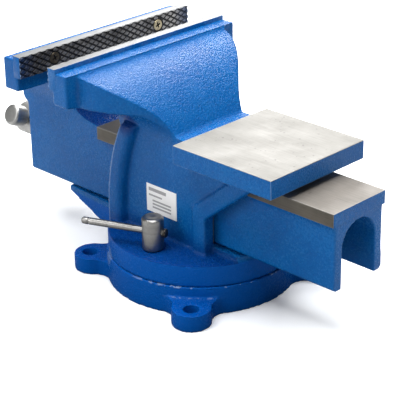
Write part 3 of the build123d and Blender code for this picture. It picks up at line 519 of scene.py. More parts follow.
@made_once
def machined(name, tint, shade_range=(0.80, 1.0), metallic=0.0, roughness=0.55, rubbed=0.22, shadow_from=None):
    """Milled iron, a little stained, with a painted shadow beyond one place along X."""
    material, tree, shader, coordinates = new_material(name, Metallic=metallic)
    spot = coordinates["Object"]
    lines = use_group(tree, milled_lines, Vector=spot)
    shape_masks = use_group(tree, edges_and_hollows, Vector=spot, Start=0.52, Full=0.58)
    dim, bright = (toned(tint, share) for share in shade_range)
    colour = blend_colour(tree, spread(tree, lines["Shade"], 0.34, 0.66), dim, bright)
    # Painted shadow beyond that place, at full strength 40 mm further on.
    if shadow_from is not None:
        painted_shadow = spread(tree, split(tree, spot)["X"], shadow_from, shadow_from + 40 * MM, 0.0, 0.85)
        colour = blend_colour(tree, painted_shadow, colour, toned(tint, 0.16))
    colour = blend_colour(tree, product(tree, lines["Pores"], 0.75), colour, (0.06, 0.05, 0.045, 1))
    # Rubbed edges made pale, partly a painted highlight.
    colour = blend_colour(tree, product(tree, shape_masks["Edge"], rubbed), colour, (0.86, 0.84, 0.80, 1))
    feed(tree, shader.inputs["Base Color"], colour)
    feed(tree, shader.inputs["Roughness"],
         spread(tree, lines["Shade"], 0.3, 0.7, roughness + 0.08, roughness - 0.08))
    bump(tree, shader, lines["Height"], 0.06 * MM)
    return material


@made_once
def turned_steel(name, tint, centre, along, ring_scale, roughness):
    """Turned steel with its rings about one axis."""
    material, tree, shader, coordinates = new_material(name, Metallic=1.0)
    turn = Vector(along).to_track_quat("Z", "Y").inverted().to_euler()
    centred = vector_maths(tree, "SUBTRACT", coordinates["Object"], tuple(centre))["Vector"]
    aligned = place(tree, "ShaderNodeMapping", {"Vector": centred, "Rotation": tuple(turn)})
    rings = use_group(tree, lathe_rings, Vector=aligned.outputs[0], Ring_Scale=ring_scale)
    colour = blend_colour(tree, spread(tree, rings["Shade"], 0.34, 0.66), toned(tint, 0.62),
                          toned(tint, 1.12))
    specks = maths(tree, "GREATER_THAN", noise(tree, coordinates["Object"], 420.0, 3.0, 0.7), 0.70)
    colour = blend_colour(tree, product(tree, specks, 0.5), colour, (0.09, 0.075, 0.06, 1))
    feed(tree, shader.inputs["Base Color"], colour)
    feed(tree, shader.inputs["Roughness"],
         spread(tree, rings["Shade"], 0.3, 0.7, roughness + 0.10, roughness - 0.06))
    bump(tree, shader, rings["Height"], 0.012 * MM)
    return material


@made_once
def plate_steel(name, metallic, dull, bright, cover):
    """Steel that varies from dull to bright, with enamel mist near both ends of a jaw."""
    material, tree, shader, coordinates = new_material(name, Metallic=metallic)
    spot = coordinates["Object"]
    patches = noise(tree, spot, 28.0, 3.0, 0.6)
    grain = noise(tree, spot, 700.0, 2.0, 0.6)
    across = split(tree, spot)["Y"]
    darker = spread(tree, across, -100 * MM, 85 * MM, -0.07, 0.16)
    mixed = maths(tree, "SUBTRACT", weighed(tree, patches, 0.7, grain), darker)
    colour = blend_colour(tree, spread(tree, mixed, 0.38, 0.64), dull, bright)
    ragged = maths(tree, "ADD", maths(tree, "ABSOLUTE", across), product(tree, patches, 12 * MM))
    misted = spread(tree, ragged, 88 * MM, 104 * MM, 0.0, cover)
    colour = blend_colour(tree, misted, colour, toned(bpy.context.scene.vise_enamel.deep, 0.45))
    feed(tree, shader.inputs["Base Color"], colour)
    feed(tree, shader.inputs["Roughness"], spread(tree, grain, 0.3, 0.7, 0.36, 0.5))
    bump(tree, shader, grain, 0.08 * MM)
    return material


@made_once
def plated(name, tint, roughness, metallic=1.0):
    """Plain plated or drawn metal with small smudges."""
    material, tree, shader, coordinates = new_material(name, Metallic=metallic)
    smudge = noise(tree, coordinates["Object"], 160.0, 4.0, 0.65)
    colour = blend_colour(tree, spread(tree, smudge, 0.36, 0.62), toned(tint, 0.6), tuple(tint))
    feed(tree, shader.inputs["Base Color"], colour)
    feed(tree, shader.inputs["Roughness"], spread(tree, smudge, 0.3, 0.7, roughness + 0.1, roughness - 0.06))
    bump(tree, shader, smudge, 0.06 * MM)
    return material


@made_once
def label_paper(name, low, high, mirrored):
    """White paper label, blank but for plain bars that start at its left edge."""
    material, tree, shader, coordinates = new_material(name, Roughness=0.55)
    offset = vector_maths(tree, "SUBTRACT", coordinates["Object"], (low.x, 0.0, low.z))["Vector"]
    spot = split(tree, offset)
    across = maths(tree, "DIVIDE", spot["X"], high.x - low.x)
    if mirrored:
        across = maths(tree, "SUBTRACT", 1.0, across)
    up = maths(tree, "DIVIDE", spot["Z"], high.z - low.z)
    bars = 0.0
    for left, right, bottom, top in (
        (0.08, 0.66, 0.76, 0.88), (0.08, 0.52, 0.58, 0.64),
        (0.20, 0.82, 0.40, 0.46), (0.20, 0.82, 0.28, 0.34), (0.20, 0.82, 0.16, 0.22),
    ):
        edges = [maths(tree, "GREATER_THAN", across, left), maths(tree, "LESS_THAN", across, right),
                 maths(tree, "GREATER_THAN", up, bottom), maths(tree, "LESS_THAN", up, top)]
        bars = largest(tree, product(tree, *edges), bars)
    fibre = noise(tree, coordinates["Object"], 500.0, 3.0, 0.6)
    colour = blend_colour(tree, fibre, (0.90, 0.90, 0.89, 1), (0.95, 0.95, 0.94, 1))
    colour = blend_colour(tree, product(tree, bars, 0.75), colour, (0.16, 0.16, 0.17, 1))
    feed(tree, shader.inputs["Base Color"], colour)
    bump(tree, shader, fibre, 0.03 * MM)
    return material


def milled_iron():
    """Bare machined faces of the base and the body."""
    return machined("milled iron", bpy.context.scene.vise_metals.machined)


def screw_steel():
    """Turned steel of the screw and its washers."""
    tint = bpy.context.scene.vise_metals.turned
    return turned_steel("screw steel", tint, screw_axis, X_AXIS, 700.0, 0.46)


def oiled_steel():
    """Steel of the bolts and washers inside."""
    return plated("oiled steel", bpy.context.scene.vise_metals.oiled, 0.36)


def spring_wire():
    """Drawn wire of the spring and the split pin."""
    return plated("spring wire", (0.42, 0.42, 0.43, 1), 0.32)


# ================================================================ modelling helpers
def take(*pieces):
    """Select these objects and nothing else."""
    for other in bpy.context.scene.objects:
        other.select_set(other in pieces)
    bpy.context.view_layer.objects.active = pieces[0]
    return pieces[0]


def start(name):
    """Name the primitive that was just added."""
    piece = bpy.context.active_object
    piece.name = piece.data.name = name
    return take(piece)


def settle(piece):
    """Carry the object's place, turn and size into its mesh."""
    take(piece)
    bpy.ops.object.transform_apply(location=True, rotation=True, scale=True)
    return piece


def stand(piece, centre, along):
    """Turn a piece that was made along Z at the origin, and put it in its place."""
    turn = Vector(along).to_track_quat("Z", "Y").to_matrix().to_4x4()
    piece.matrix_world = Matrix.Translation(Vector(centre)) @ turn
    return settle(piece)


def edit(piece, action="SELECT"):
    """Enter edit mode on a piece with all of it selected, or none."""
    take(piece)
    bpy.ops.object.mode_set(mode="EDIT")
    bpy.ops.mesh.select_all(action=action)


def leave():
    """Leave edit mode."""
    bpy.ops.object.mode_set(mode="OBJECT")


def on_all(operator, **settings):
    """In edit mode, run an operator on the whole mesh."""
    bpy.ops.mesh.select_all(action="SELECT")
    operator(**settings)


def edit_where(piece, kind, test):
    """Enter edit mode with those vertices or faces selected that pass a test."""
    edit(piece, "DESELECT")
    bpy.ops.mesh.select_mode(type=kind)
    leave()
    for part in piece.data.vertices if kind == "VERT" else piece.data.polygons:
        part.select = test(part)
    bpy.ops.object.mode_set(mode="EDIT")


def apply_modifier(piece, kind, **settings):
    """Add a modifier with its settings and apply it."""
    take(piece)
    modifier = piece.modifiers.new(kind.lower(), kind)
    for key, value in settings.items():
        setattr(modifier, key, value)
    bpy.ops.object.modifier_apply(modifier=modifier.name)
    return piece


def cut(piece, cutter, operation="DIFFERENCE"):
    """Boolean of a piece with a cutter, which is used up."""
    apply_modifier(piece, "BOOLEAN", object=cutter, operation=operation, solver="EXACT")
    bpy.data.objects.remove(cutter, do_unlink=True)
    return piece


def slice_off(point, outward):
    """In edit mode, take away what lies beyond a plane and close the cut."""
    on_all(bpy.ops.mesh.bisect, plane_co=point, plane_no=outward, use_fill=True, clear_outer=True)


def wind(piece, pitch, turns, steps, weld):
    """Wind a profile about the Z axis."""
    return apply_modifier(piece, "SCREW", axis="Z", angle=2 * pi, screw_offset=pitch, iterations=turns,
                          steps=steps, render_steps=steps, use_merge_vertices=True, merge_threshold=weld)


def soften(piece, width, segments=2, angle=30):
    """Round the sharp edges of a piece."""
    return apply_modifier(piece, "BEVEL", width=width, segments=segments, limit_method="ANGLE",
                          angle_limit=radians(angle), use_clamp_overlap=True)


def join(*pieces, name=None):
    """Join pieces into the first, which may get a new name."""
    joined = take(*pieces)
    bpy.ops.object.join()
    joined.name = name or joined.name
    return joined


def rim(piece, width, smallest):
    """Two narrow rows of faces round every large face, so that rubbed and highlit edges stay narrow."""
    for _ in range(2):
        edit_where(piece, "FACE", lambda face: face.area > smallest)
        bpy.ops.mesh.inset(thickness=width, use_individual=True)
        leave()


def shade(piece, angle):
    """Smooth shading, broken at edges sharper than an angle."""
    take(piece)
    bpy.ops.object.shade_smooth_by_angle(angle=radians(angle))
    return piece


def rounded(points, steps=4):
    """Outline of (along, radius) points; a third number rounds that corner to that radius."""
    line = []
    for index, point in enumerate(points):
        corner = Vector(point[:2])
        if len(point) == 2:
            line.append(corner)
            continue
        before = (Vector(points[index - 1][:2]) - corner).normalized()
        after = (Vector(points[(index + 1) % len(points)][:2]) - corner).normalized()
        half = before.angle(after) / 2
        reach = point[2] / tan(half)
        centre = corner + (before + after).normalized() * point[2] / sin(half)
        first = corner + before * reach - centre
        last = corner + after * reach - centre
        sweep = first.angle_signed(last)
        for step in range(steps + 1):
            arm = first.copy()
            arm.rotate(Matrix.Rotation(-sweep * step / steps, 2))
            line.append(centre + arm)
    return line


def drawn_line(name, points):
    """A line through points, drawn by extruding one vertex from each to the next."""
    bpy.ops.mesh.primitive_plane_add(size=MM, location=(0, 0, 0))
    piece = start(name)
    edit(piece)
    bpy.ops.mesh.select_mode(type="VERT")
    on_all(bpy.ops.mesh.merge, type="CENTER")
    on_all(bpy.ops.transform.translate, value=points[0])
    for one, other in zip(points, points[1:]):
        bpy.ops.mesh.extrude_vertices_move(TRANSFORM_OT_translate={"value": other - one})
    leave()
    return piece


def turned(name, outline, centre, along, sides, closed=False):
    """A turned piece: its outline of (along, radius) spun about the axis, in place."""
    points = [Vector((radius, 0, height)) for height, radius in outline]
    piece = drawn_line(name, points + points[:1] if closed else points)
    edit(piece)
    bpy.ops.mesh.spin(steps=sides, angle=2 * pi, center=(0, 0, 0), axis=(0, 0, 1))
    on_all(bpy.ops.mesh.remove_doubles, threshold=WELD)
    bpy.ops.mesh.dissolve_degenerate(threshold=FINE_WELD)
    on_all(bpy.ops.mesh.normals_make_consistent, inside=False)
    leave()
    return stand(piece, centre, along)


def block(name, low, high):
    """A box between two corners."""
    low, high = Vector(low), Vector(high)
    bpy.ops.mesh.primitive_cube_add(size=1, location=(low + high) / 2)
    piece = start(name)
    piece.scale = high - low
    return settle(piece)


def rod(name, centre, along, radius, length, sides=48):
    """A plain round cutter about a centre."""
    bpy.ops.mesh.primitive_cylinder_add(vertices=sides, radius=radius, depth=length)
    return stand(start(name), centre, along)


def copy_node(name, node):
    """A free copy of a node's mesh, merged."""
    piece = frame["nodes"][node].copy()
    piece.data = piece.data.copy()
    piece.parent = None
    for key in list(piece.keys()):
        del piece[key]
    bpy.context.scene.collection.objects.link(piece)
    piece.name = piece.data.name = name
    piece.data.materials.clear()
    edit(piece)
    bpy.ops.mesh.remove_doubles(threshold=FINE_WELD)
    leave()
    return piece


def rounded_copy(name, node, width):
    """A free copy of a node with its flat faces made whole and its edges rounded."""
    piece = copy_node(name, node)
    edit(piece)
    bpy.ops.mesh.dissolve_limited(angle_limit=radians(3))
    leave()
    return soften(piece, width, angle=50)


def shift_where(piece, test, step):
    """Move the vertices that pass a test by one step."""
    edit_where(piece, "VERT", lambda vertex: test(vertex.co))
    bpy.ops.transform.translate(value=step)
    leave()


def draw_back(casting, within, near, *faces):
    """Draw faces of a casting back under the machined part that covers them.

    Each face is the way it looks and its level that way.
    """
    for outward, level in faces:
        shift_where(casting, lambda co: within(co) and co.dot(outward) > level - near, -RELIEF * outward)


def seat_plate(casting, plate, outward):
    """Push the seat of a jaw plate into the plate, so that no groove opens between the two."""
    low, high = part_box(plate)
    back = low.x if outward > 0 else high.x
    shift_where(casting, lambda co: abs(co.x - back) < NEAR and co.z > low.z - NEAR,
                (outward * SEAT_GROWTH, 0, 0))
    shift_where(casting, lambda co: abs(co.z - low.z) < NEAR and low.x < co.x < high.x,
                (0, 0, SEAT_GROWTH))


def cast(piece, bare):
    """Give a copied casting the soft edges and rough skin of cast iron, except where it is bare."""
    sizes = bpy.context.scene.vise_sizes
    apply_modifier(piece, "REMESH", mode="VOXEL", voxel_size=sizes.casting_cell)
    apply_modifier(piece, "SMOOTH", factor=0.5, iterations=3)
    painted = piece.vertex_groups.new(name="painted")
    painted.add([v.index for v in piece.data.vertices if not bare(v.co)], 1.0, "REPLACE")
    if "cast skin" not in bpy.data.textures:
        clouds = bpy.data.textures.new("cast skin", "CLOUDS")
        clouds.noise_scale = SKIN_SIZE
        clouds.noise_depth = 2
    apply_modifier(piece, "DISPLACE", texture=bpy.data.textures["cast skin"], texture_coords="LOCAL",
                   strength=sizes.skin_depth, mid_level=0.9, vertex_group="painted")
    triangles = sum(len(face.vertices) - 2 for face in piece.data.polygons)
    if triangles > TRIANGLE_LIMIT:
        apply_modifier(piece, "DECIMATE", ratio=TRIANGLE_LIMIT / triangles)
    take(piece)
    piece.vertex_groups.clear()
    bpy.ops.object.shade_smooth()


def paint(piece, *materials):
    """Give a piece its materials, the first on every face."""
    piece.data.materials.clear()
    for material in materials:
        piece.data.materials.append(material)


def colour_faces(piece, index, test):
    """Give the faces that pass a test the material of that index."""
    for face in piece.data.polygons:
        if test(face.center, face.normal):
            face.material_index = index


def hand_over(piece, body, slot, *nodes):
    """The finished piece rides on its body and stands for its nodes."""
    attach(piece, body)
    if nodes:
        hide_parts(*nodes)


def complete(piece, angle, material, body, slot, *nodes):
    """Shade a piece of one material, paint it and hand it over."""
    shade(piece, angle)
    paint(piece, material)
    hand_over(piece, body, slot, *nodes)


# ================================================================ pieces
class VISE_OT_base(bpy.types.Operator):
    """Model the round base with its four ears"""

    bl_idname = "vise.base"
    bl_label = "Base"

    def execute(self, context):
        base = copy_node("swivel_base", "base_plate")
        cast(base, lambda co: co.z < BARE_EDGE or co.z > base_top - SPIGOT_REACH)
        paint(base, enamel("base enamel"), milled_iron())
        colour_faces(base, 1, lambda centre, normal: centre.z < 0.6 * MM and normal.z < -0.9)
        hand_over(base, "base", "blue_enamel", "base_plate")
        return {"FINISHED"}


class VISE_OT_body(bpy.types.Operator):
    """Model the swivelling casting with the fixed jaw and the anvil"""

    bl_idname = "vise.body"
    bl_label = "Body and anvil"

    def execute(self, context):
        body = copy_node("body_casting", "swivel_body")
        edge = 0.9 * MM
        draw_back(body, lambda co: co.x < ANVIL_HIGH.x + edge and co.z > ANVIL_LOW.z - edge, edge,
                  (Z_AXIS, ANVIL_HIGH.z), (-X_AXIS, -ANVIL_LOW.x),
                  (Y_AXIS, ANVIL_HIGH.y), (-Y_AXIS, ANVIL_HIGH.y))
        seat_plate(body, "fixed_jaw_plate", 1)
        cast(body, self.is_bare)
        paint(body, enamel("casting enamel"), milled_iron(), enamel("base enamel"))
        colour_faces(body, 2, lambda centre, normal: centre.z < FLANGE_TOP + 0.5 * MM)
        colour_faces(body, 1, lambda centre, normal: self.is_bare(centre))
        hand_over(body, "swivel", "blue_enamel", "swivel_body")

        anvil = block("anvil_block", ANVIL_LOW, ANVIL_HIGH)
        soften(anvil, edge, 3)
        rim(anvil, 0.8 * MM, 500 * MM * MM)
        shade(anvil, 30)
        paint(anvil, enamel("casting enamel"), milled_iron())
        colour_faces(anvil, 1, lambda centre, normal: normal.z > 0.3)
        hand_over(anvil, "swivel", "machined_iron")
        return {"FINISHED"}

    def is_bare(self, spot):
        """Whether a point of the body is in its machined tunnel or on its underside."""
        in_tunnel = abs(spot.y) < TUNNEL_HALF_WIDTH and TUNNEL_BOTTOM < spot.z < TUNNEL_TOP
        return in_tunnel or spot.z < body_foot + BARE_EDGE


class VISE_OT_moving_jaw(bpy.types.Operator):
    """Model the moving jaw with its slide and machined strips"""

    bl_idname = "vise.moving_jaw"
    bl_label = "Moving jaw"

    def execute(self, context):
        jaw = copy_node("moving_jaw_casting", "moving_jaw")
        strip_low = Vector((slide_rear, -SLIDE_HALF_WIDTH, SLIDE_TOP - STRIP_HEIGHT))
        strip_high = Vector((STRIP_FRONT, SLIDE_HALF_WIDTH, SLIDE_TOP))
        draw_back(jaw, lambda co: co.x < STRIP_FRONT + NEAR, NEAR,
                  (Z_AXIS, SLIDE_TOP), (Y_AXIS, SLIDE_HALF_WIDTH), (-Y_AXIS, SLIDE_HALF_WIDTH))
        draw_back(jaw, lambda co: co.z > strip_low.z - NEAR, NEAR, (-X_AXIS, -slide_rear))
        seat_plate(jaw, "moving_jaw_plate", -1)
        cast(jaw, lambda co: co.x < STRIP_FRONT and co.z > strip_low.z)
        paint(jaw, enamel("casting enamel"))
        hand_over(jaw, "jaw", "blue_enamel", "moving_jaw")

        strips = block("slide_strips", strip_low, strip_high)
        soften(strips, 0.5 * MM)
        rim(strips, 0.6 * MM, 300 * MM * MM)
        shade(strips, 30)
        # The slide's top gets a painted shadow forward of its middle, under the fixed jaw's wing.
        top = machined("slide iron", (0.200, 0.181, 0.158), (0.75, 1.1), 0.0, 0.6, 0.15, 0.0)
        side = machined("slide side", (0.085, 0.074, 0.056), (0.5, 1.3), 0.1, 0.55, 0.08)
        paint(strips, top, side, enamel("casting enamel"))
        colour_faces(strips, 1, lambda centre, normal: abs(normal.y) > 0.7)
        colour_faces(strips, 2, lambda centre, normal: normal.x < -0.7)
        hand_over(strips, "jaw", "machined_iron")
        return {"FINISHED"}


class VISE_OT_jaw_plates(bpy.types.Operator):
    """Model the two knurled jaw plates"""

    bl_idname = "vise.jaw_plates"
    bl_label = "Jaw plates"

    def execute(self, context):
        black = plate_steel("blackened steel", 0.4, tuple(context.scene.vise_metals.black),
                            (0.03, 0.03, 0.034, 1), 0.35)
        rubbed = plate_steel("rubbed knurl", 0.55, (0.10, 0.098, 0.104, 1), (0.50, 0.49, 0.48, 1), 0.9)
        ground = machined("ground steel", (0.112, 0.118, 0.126), (0.82, 1.12), 0.0, 0.5, 0.10)
        for which, body, outward in JAWS:
            plate = self.model(context.scene.vise_sizes, which, outward)
            paint(plate, black, rubbed, ground, enamel("casting enamel"))
            low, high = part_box(f"{which}_jaw_plate")
            face_x = high.x if outward > 0 else low.x
            colour_faces(plate, 1, lambda centre, normal:
                         abs(centre.x - face_x) < 0.12 * MM and normal.x * outward > 0.9)
            colour_faces(plate, 2, lambda centre, normal:
                         normal.z > 0.35 and centre.z > high.z - 0.6 * MM)
            colour_faces(plate, 3, lambda centre, normal: normal.x * outward < -0.3 or
                         (abs(normal.y) > 0.9 and abs(centre.y) > high.y - 0.3 * MM))
            hand_over(plate, body, "black_steel", f"{which}_jaw_plate")
        return {"FINISHED"}

    def model(self, sizes, which, outward):
        """A plate with its knurl, bored for its two screws."""
        low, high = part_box(f"{which}_jaw_plate")
        face_x, back_x = (high.x, low.x) if outward > 0 else (low.x, high.x)
        near, deep = sorted((face_x - outward * sizes.knurl_depth, back_x))
        plate = block(f"{which}_plate", (near, low.y, low.z), (deep, high.y, high.z))
        soften(plate, 0.4 * MM)
        knurl = self.knurl(sizes, which, outward, low, high, face_x)
        screws = f"{which}_plate_screws"
        middle, half = middle_of(screws), half_of(screws)
        rim_radius = half.z + HEAD_GAP
        sink = [(-4 * MM, 0), (-4 * MM, 3.5 * MM), (-3 * MM, 3.5 * MM), (0, rim_radius),
                (1 * MM, rim_radius), (1 * MM, 0)]
        for side in (-1, 1):
            at = (face_x, middle.y + side * (half.y - half.z), middle.z)
            cut(knurl, rod("clearing", at, X_AXIS, rim_radius + 0.4 * MM, 6 * MM))
            cut(plate, turned("countersink", sink, at, (outward, 0, 0), 48))
        join(plate, knurl)
        return shade(plate, 25)

    def knurl(self, sizes, which, outward, low, high, face_x):
        """Two staggered fields of four-sided studs, trimmed inside the plate's edges."""
        pitch_y, pitch_z = sizes.knurl_length, sizes.knurl_height
        height = sizes.knurl_depth + 0.1 * MM
        studs = []
        for half in (0, 1):
            bpy.ops.mesh.primitive_cone_add(vertices=4, radius1=0.90, radius2=0.66, depth=1)
            stud = start(f"{which}_studs_{half}")
            for turn, scale in ((-45, (0.93, 1, 1)), (45, (pitch_y / 2, pitch_z / 2, height))):
                stud.rotation_euler.z = radians(turn)
                settle(stud)
                stud.scale = scale
                settle(stud)
            first = (face_x - outward * height / 2, low.y + pitch_y * half / 2, high.z - pitch_z * half / 2)
            stand(stud, first, (outward, 0, 0))
            for extent, pitch, way in ((high.y - low.y, pitch_y, Y_AXIS), (high.z - low.z, pitch_z, -Z_AXIS)):
                apply_modifier(stud, "ARRAY", count=ceil(extent / pitch) + 1, use_relative_offset=False,
                               use_constant_offset=True, constant_offset_displace=pitch * way)
            studs.append(stud)
        knurl = join(*studs, name=f"{which}_knurl")
        edit(knurl)
        for corner, normal in ((low, -Y_AXIS), (low, -Z_AXIS), (high, Y_AXIS), (high, Z_AXIS)):
            slice_off(corner - normal * KNURL_BORDER, normal)
        leave()
        return knurl


class VISE_OT_plate_screws(bpy.types.Operator):
    """Model the countersunk screws of the jaw plates"""

    bl_idname = "vise.plate_screws"
    bl_label = "Plate screws"

    def execute(self, context):
        brass = plated("yellow zinc", context.scene.vise_metals.brass, 0.34, 0.85)
        oily = plated("oily zinc", (0.15, 0.125, 0.085, 1), 0.38, 0.7)
        dirt = plated("dirt of the recess", (0.016, 0.013, 0.011, 1), 0.6, 0.0)
        for which, body, outward in JAWS:
            node = f"{which}_plate_screws"
            middle, half = middle_of(node), half_of(node)
            head, length = half.z, 2 * half.x
            outline = [(-length, 0), (-length, 2.4 * MM), (-length + 0.8 * MM, 3 * MM), (-3.2 * MM, 3 * MM),
                       (-0.35 * MM, head - 0.05 * MM), (0, head - 0.35 * MM), (0, 0)]
            pair = []
            for side, coat in ((-1, brass), (1, oily)):
                at = Vector((middle.x + outward * half.x, middle.y + side * (half.y - head), middle.z))
                screw = turned("plate_screw", outline, at, (outward, 0, 0), 40)
                for turn in (20, 110):
                    cut(screw, self.recess(at, outward, turn))
                paint(screw, coat, dirt)
                colour_faces(screw, 1, lambda centre, normal: abs(centre.x - at.x) > 0.15 * MM
                             and hypot(centre.y - at.y, centre.z - at.z) < 2.6 * MM)
                pair.append(screw)
            screws = shade(join(*pair, name=f"{which}_countersunk_screws"), 35)
            hand_over(screws, body, "brass_plate", node)
        return {"FINISHED"}

    def recess(self, at, outward, turn):
        """One tapered blade of the cross recess."""
        bpy.ops.mesh.primitive_cone_add(vertices=4, radius1=0.38, radius2=0.72, depth=1,
                                        rotation=(0, 0, pi / 4))
        blade = settle(start("recess_blade"))
        blade.scale = (6.2 * MM, 1.5 * MM, 3 * MM)
        settle(blade)
        blade.rotation_euler.z = radians(turn)
        settle(blade)
        return stand(blade, at - Vector((outward, 0, 0)) * MM, (outward, 0, 0))


class VISE_OT_screw(bpy.types.Operator):
    """Model the main screw with its thread and its drilled head"""

    bl_idname = "vise.screw"
    bl_label = "Main screw"

    def execute(self, context):
        sizes = context.scene.vise_sizes
        head = (screw_high.z - screw_low.z) / 2
        root = SCREW_RADIUS - sizes.thread_depth
        crest = SCREW_RADIUS - 0.1 * MM
        pitch = sizes.thread_pitch
        pin = Vector((middle_of("split_pin").x, 0, screw_axis.z))
        thread_end = pin.x - 6 * MM
        outline = rounded([
            (thread_end, 0), (thread_end, root), (thread_end + 2 * MM, SCREW_RADIUS),
            (HEAD_START, SCREW_RADIUS), (HEAD_START, head, 0.6 * MM), (screw_high.x, head, 1.6 * MM),
            (screw_high.x, 2.4 * MM), (screw_high.x - 1.6 * MM, 0)], 3)
        screw = turned("screw_with_head", outline, screw_axis, X_AXIS, 96)
        at = Vector((middle_of("handle_bar").x, 0, screw_axis.z))
        cut(screw, rod("handle_hole", at, handle_way, HANDLE_BORE, 60 * MM, 64))
        soften(screw, 0.35 * MM, angle=40)
        cut(screw, rod("pin_hole", pin, Y_AXIS, PIN_BORE, 40 * MM, 32))

        tail = thread_end + 1 * MM
        profile = [(0, root), (0.30, root), (0.40, crest), (0.46, SCREW_RADIUS), (0.84, SCREW_RADIUS),
                   (0.90, crest), (1.0, root)]
        thread = drawn_line("screw_thread", [Vector((reach, 0, rise * pitch)) for rise, reach in profile])
        wind(thread, pitch, ceil((tail - screw_low.x) / pitch) + 2, 32, WELD)
        stand(thread, (screw_low.x - 1.5 * pitch, 0, screw_axis.z), X_AXIS)
        edit(thread)
        bpy.ops.mesh.remove_doubles(threshold=WELD)
        slice_off((screw_low.x, 0, 0), -X_AXIS)
        slice_off((tail, 0, 0), X_AXIS)
        on_all(bpy.ops.mesh.normals_make_consistent, inside=False)
        leave()
        complete(join(screw, thread), 32, screw_steel(), "screw", "bright_steel", "main_screw")
        return {"FINISHED"}


class VISE_OT_take_up(bpy.types.Operator):
    """Model the washers, the take-up spring and the split pin of the screw"""

    bl_idname = "vise.take_up"
    bl_label = "Washers, spring and pin"

    def execute(self, context):
        for node in ("thrust_washer", "spring_washer", "retaining_washer"):
            low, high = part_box(node)
            outer = half_of(node).z
            outline = rounded([(low.x, WASHER_BORE, 0.3 * MM), (low.x, outer, 0.5 * MM),
                               (high.x, outer, 0.5 * MM), (high.x, WASHER_BORE, 0.3 * MM)], 3)
            washer = turned(f"{node}_ring", outline, screw_axis, X_AXIS, 72, closed=True)
            complete(washer, 35, screw_steel(), "screw", "bright_steel", node)

        half = half_of("take_up_spring")
        bpy.ops.mesh.primitive_circle_add(vertices=16, radius=SPRING_WIRE, fill_type="NOTHING",
                                          location=(half.z - SPRING_WIRE, 0, 0), rotation=(pi / 2, 0, 0))
        spring = settle(start("spring_coil"))
        wind(spring, 2 * (half.x - SPRING_WIRE) / SPRING_TURNS, SPRING_TURNS, 48, FINE_WELD)
        edit(spring)
        bpy.ops.mesh.fill_holes(sides=32)
        on_all(bpy.ops.mesh.normals_make_consistent, inside=False)
        leave()
        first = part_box("take_up_spring")[0].x + SPRING_WIRE
        stand(spring, (first, 0, screw_axis.z), X_AXIS)
        complete(spring, 40, spring_wire(), "screw", "spring_steel", "take_up_spring")

        centre = Vector((middle_of("split_pin").x, 0, screw_axis.z))
        radius = half_of("split_pin").x
        outline = rounded([(-PIN_REACH, 0), (-PIN_REACH, radius, 0.7 * MM),
                           (PIN_REACH + 0.4 * MM, radius, 0.5 * MM), (PIN_REACH + 0.4 * MM, 0)], 3)
        pin = turned("pin_shank", outline, centre, Y_AXIS, 24)
        bpy.ops.mesh.primitive_torus_add(
            major_radius=EYE_RADIUS, minor_radius=1 * MM, major_segments=32, minor_segments=12,
            rotation=(0, pi / 2, 0), location=centre + Y_AXIS * (PIN_REACH + EYE_RADIUS))
        join(pin, settle(start("pin_eye")))
        complete(pin, 40, spring_wire(), "screw", "spring_steel", "split_pin")
        return {"FINISHED"}


class VISE_OT_nut(bpy.types.Operator):
    """Model the fixed nut with its bolts and washers"""

    bl_idname = "vise.nut"
    bl_label = "Main nut"

    def execute(self, context):
        nut = rounded_copy("iron_nut", "main_nut", 0.8 * MM)
        iron = plated("nut iron", (0.20, 0.20, 0.205, 1), 0.5, 0.5)
        complete(nut, 30, iron, "swivel", "grey_iron", "main_nut")

        low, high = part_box("nut_bolts")
        washer_low, washer_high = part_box("nut_bolt_washers")
        washer_radius = half_of("nut_bolt_washers").y
        head_top = washer_low.z
        flat = half_of("nut_bolts").y        # half the head across its flats
        hole = NUT_BOLT_RADIUS + 0.25 * MM
        chamfer = [(low.z, 0), (low.z, flat - 0.6 * MM), (low.z + 1.6 * MM, flat + 2.2 * MM),
                   (head_top, flat + 2.2 * MM), (head_top, 0)]
        stem = rounded([(head_top - 0.5 * MM, 0), (head_top - 0.5 * MM, NUT_BOLT_RADIUS),
                        (high.z, NUT_BOLT_RADIUS, 1 * MM), (high.z, 0)])
        collar = rounded([(washer_low.z, hole), (washer_low.z, washer_radius, 0.3 * MM),
                          (washer_high.z, washer_radius, 0.3 * MM), (washer_high.z, hole)])
        bolts, rings = [], []
        for x in (washer_low.x + washer_radius, washer_high.x - washer_radius):
            at = Vector((x, 0, 0))
            bpy.ops.mesh.primitive_cylinder_add(vertices=6, radius=flat / cos(pi / 6), depth=head_top - low.z,
                                                location=(x, 0, (head_top + low.z) / 2))
            head = settle(start("bolt_head"))
            cut(head, turned("chamfer", chamfer, at, Z_AXIS, 48), "INTERSECT")
            bolts += [head, turned("bolt_shank", stem, at, Z_AXIS, 32)]
            rings.append(turned("bolt_washer", collar, at, Z_AXIS, 40, closed=True))
        for name, pieces, node in (("nut_hex_bolts", bolts, "nut_bolts"),
                                   ("nut_washers", rings, "nut_bolt_washers")):
            complete(join(*pieces, name=name), 30, oiled_steel(), "swivel", "dark_steel", node)
        return {"FINISHED"}


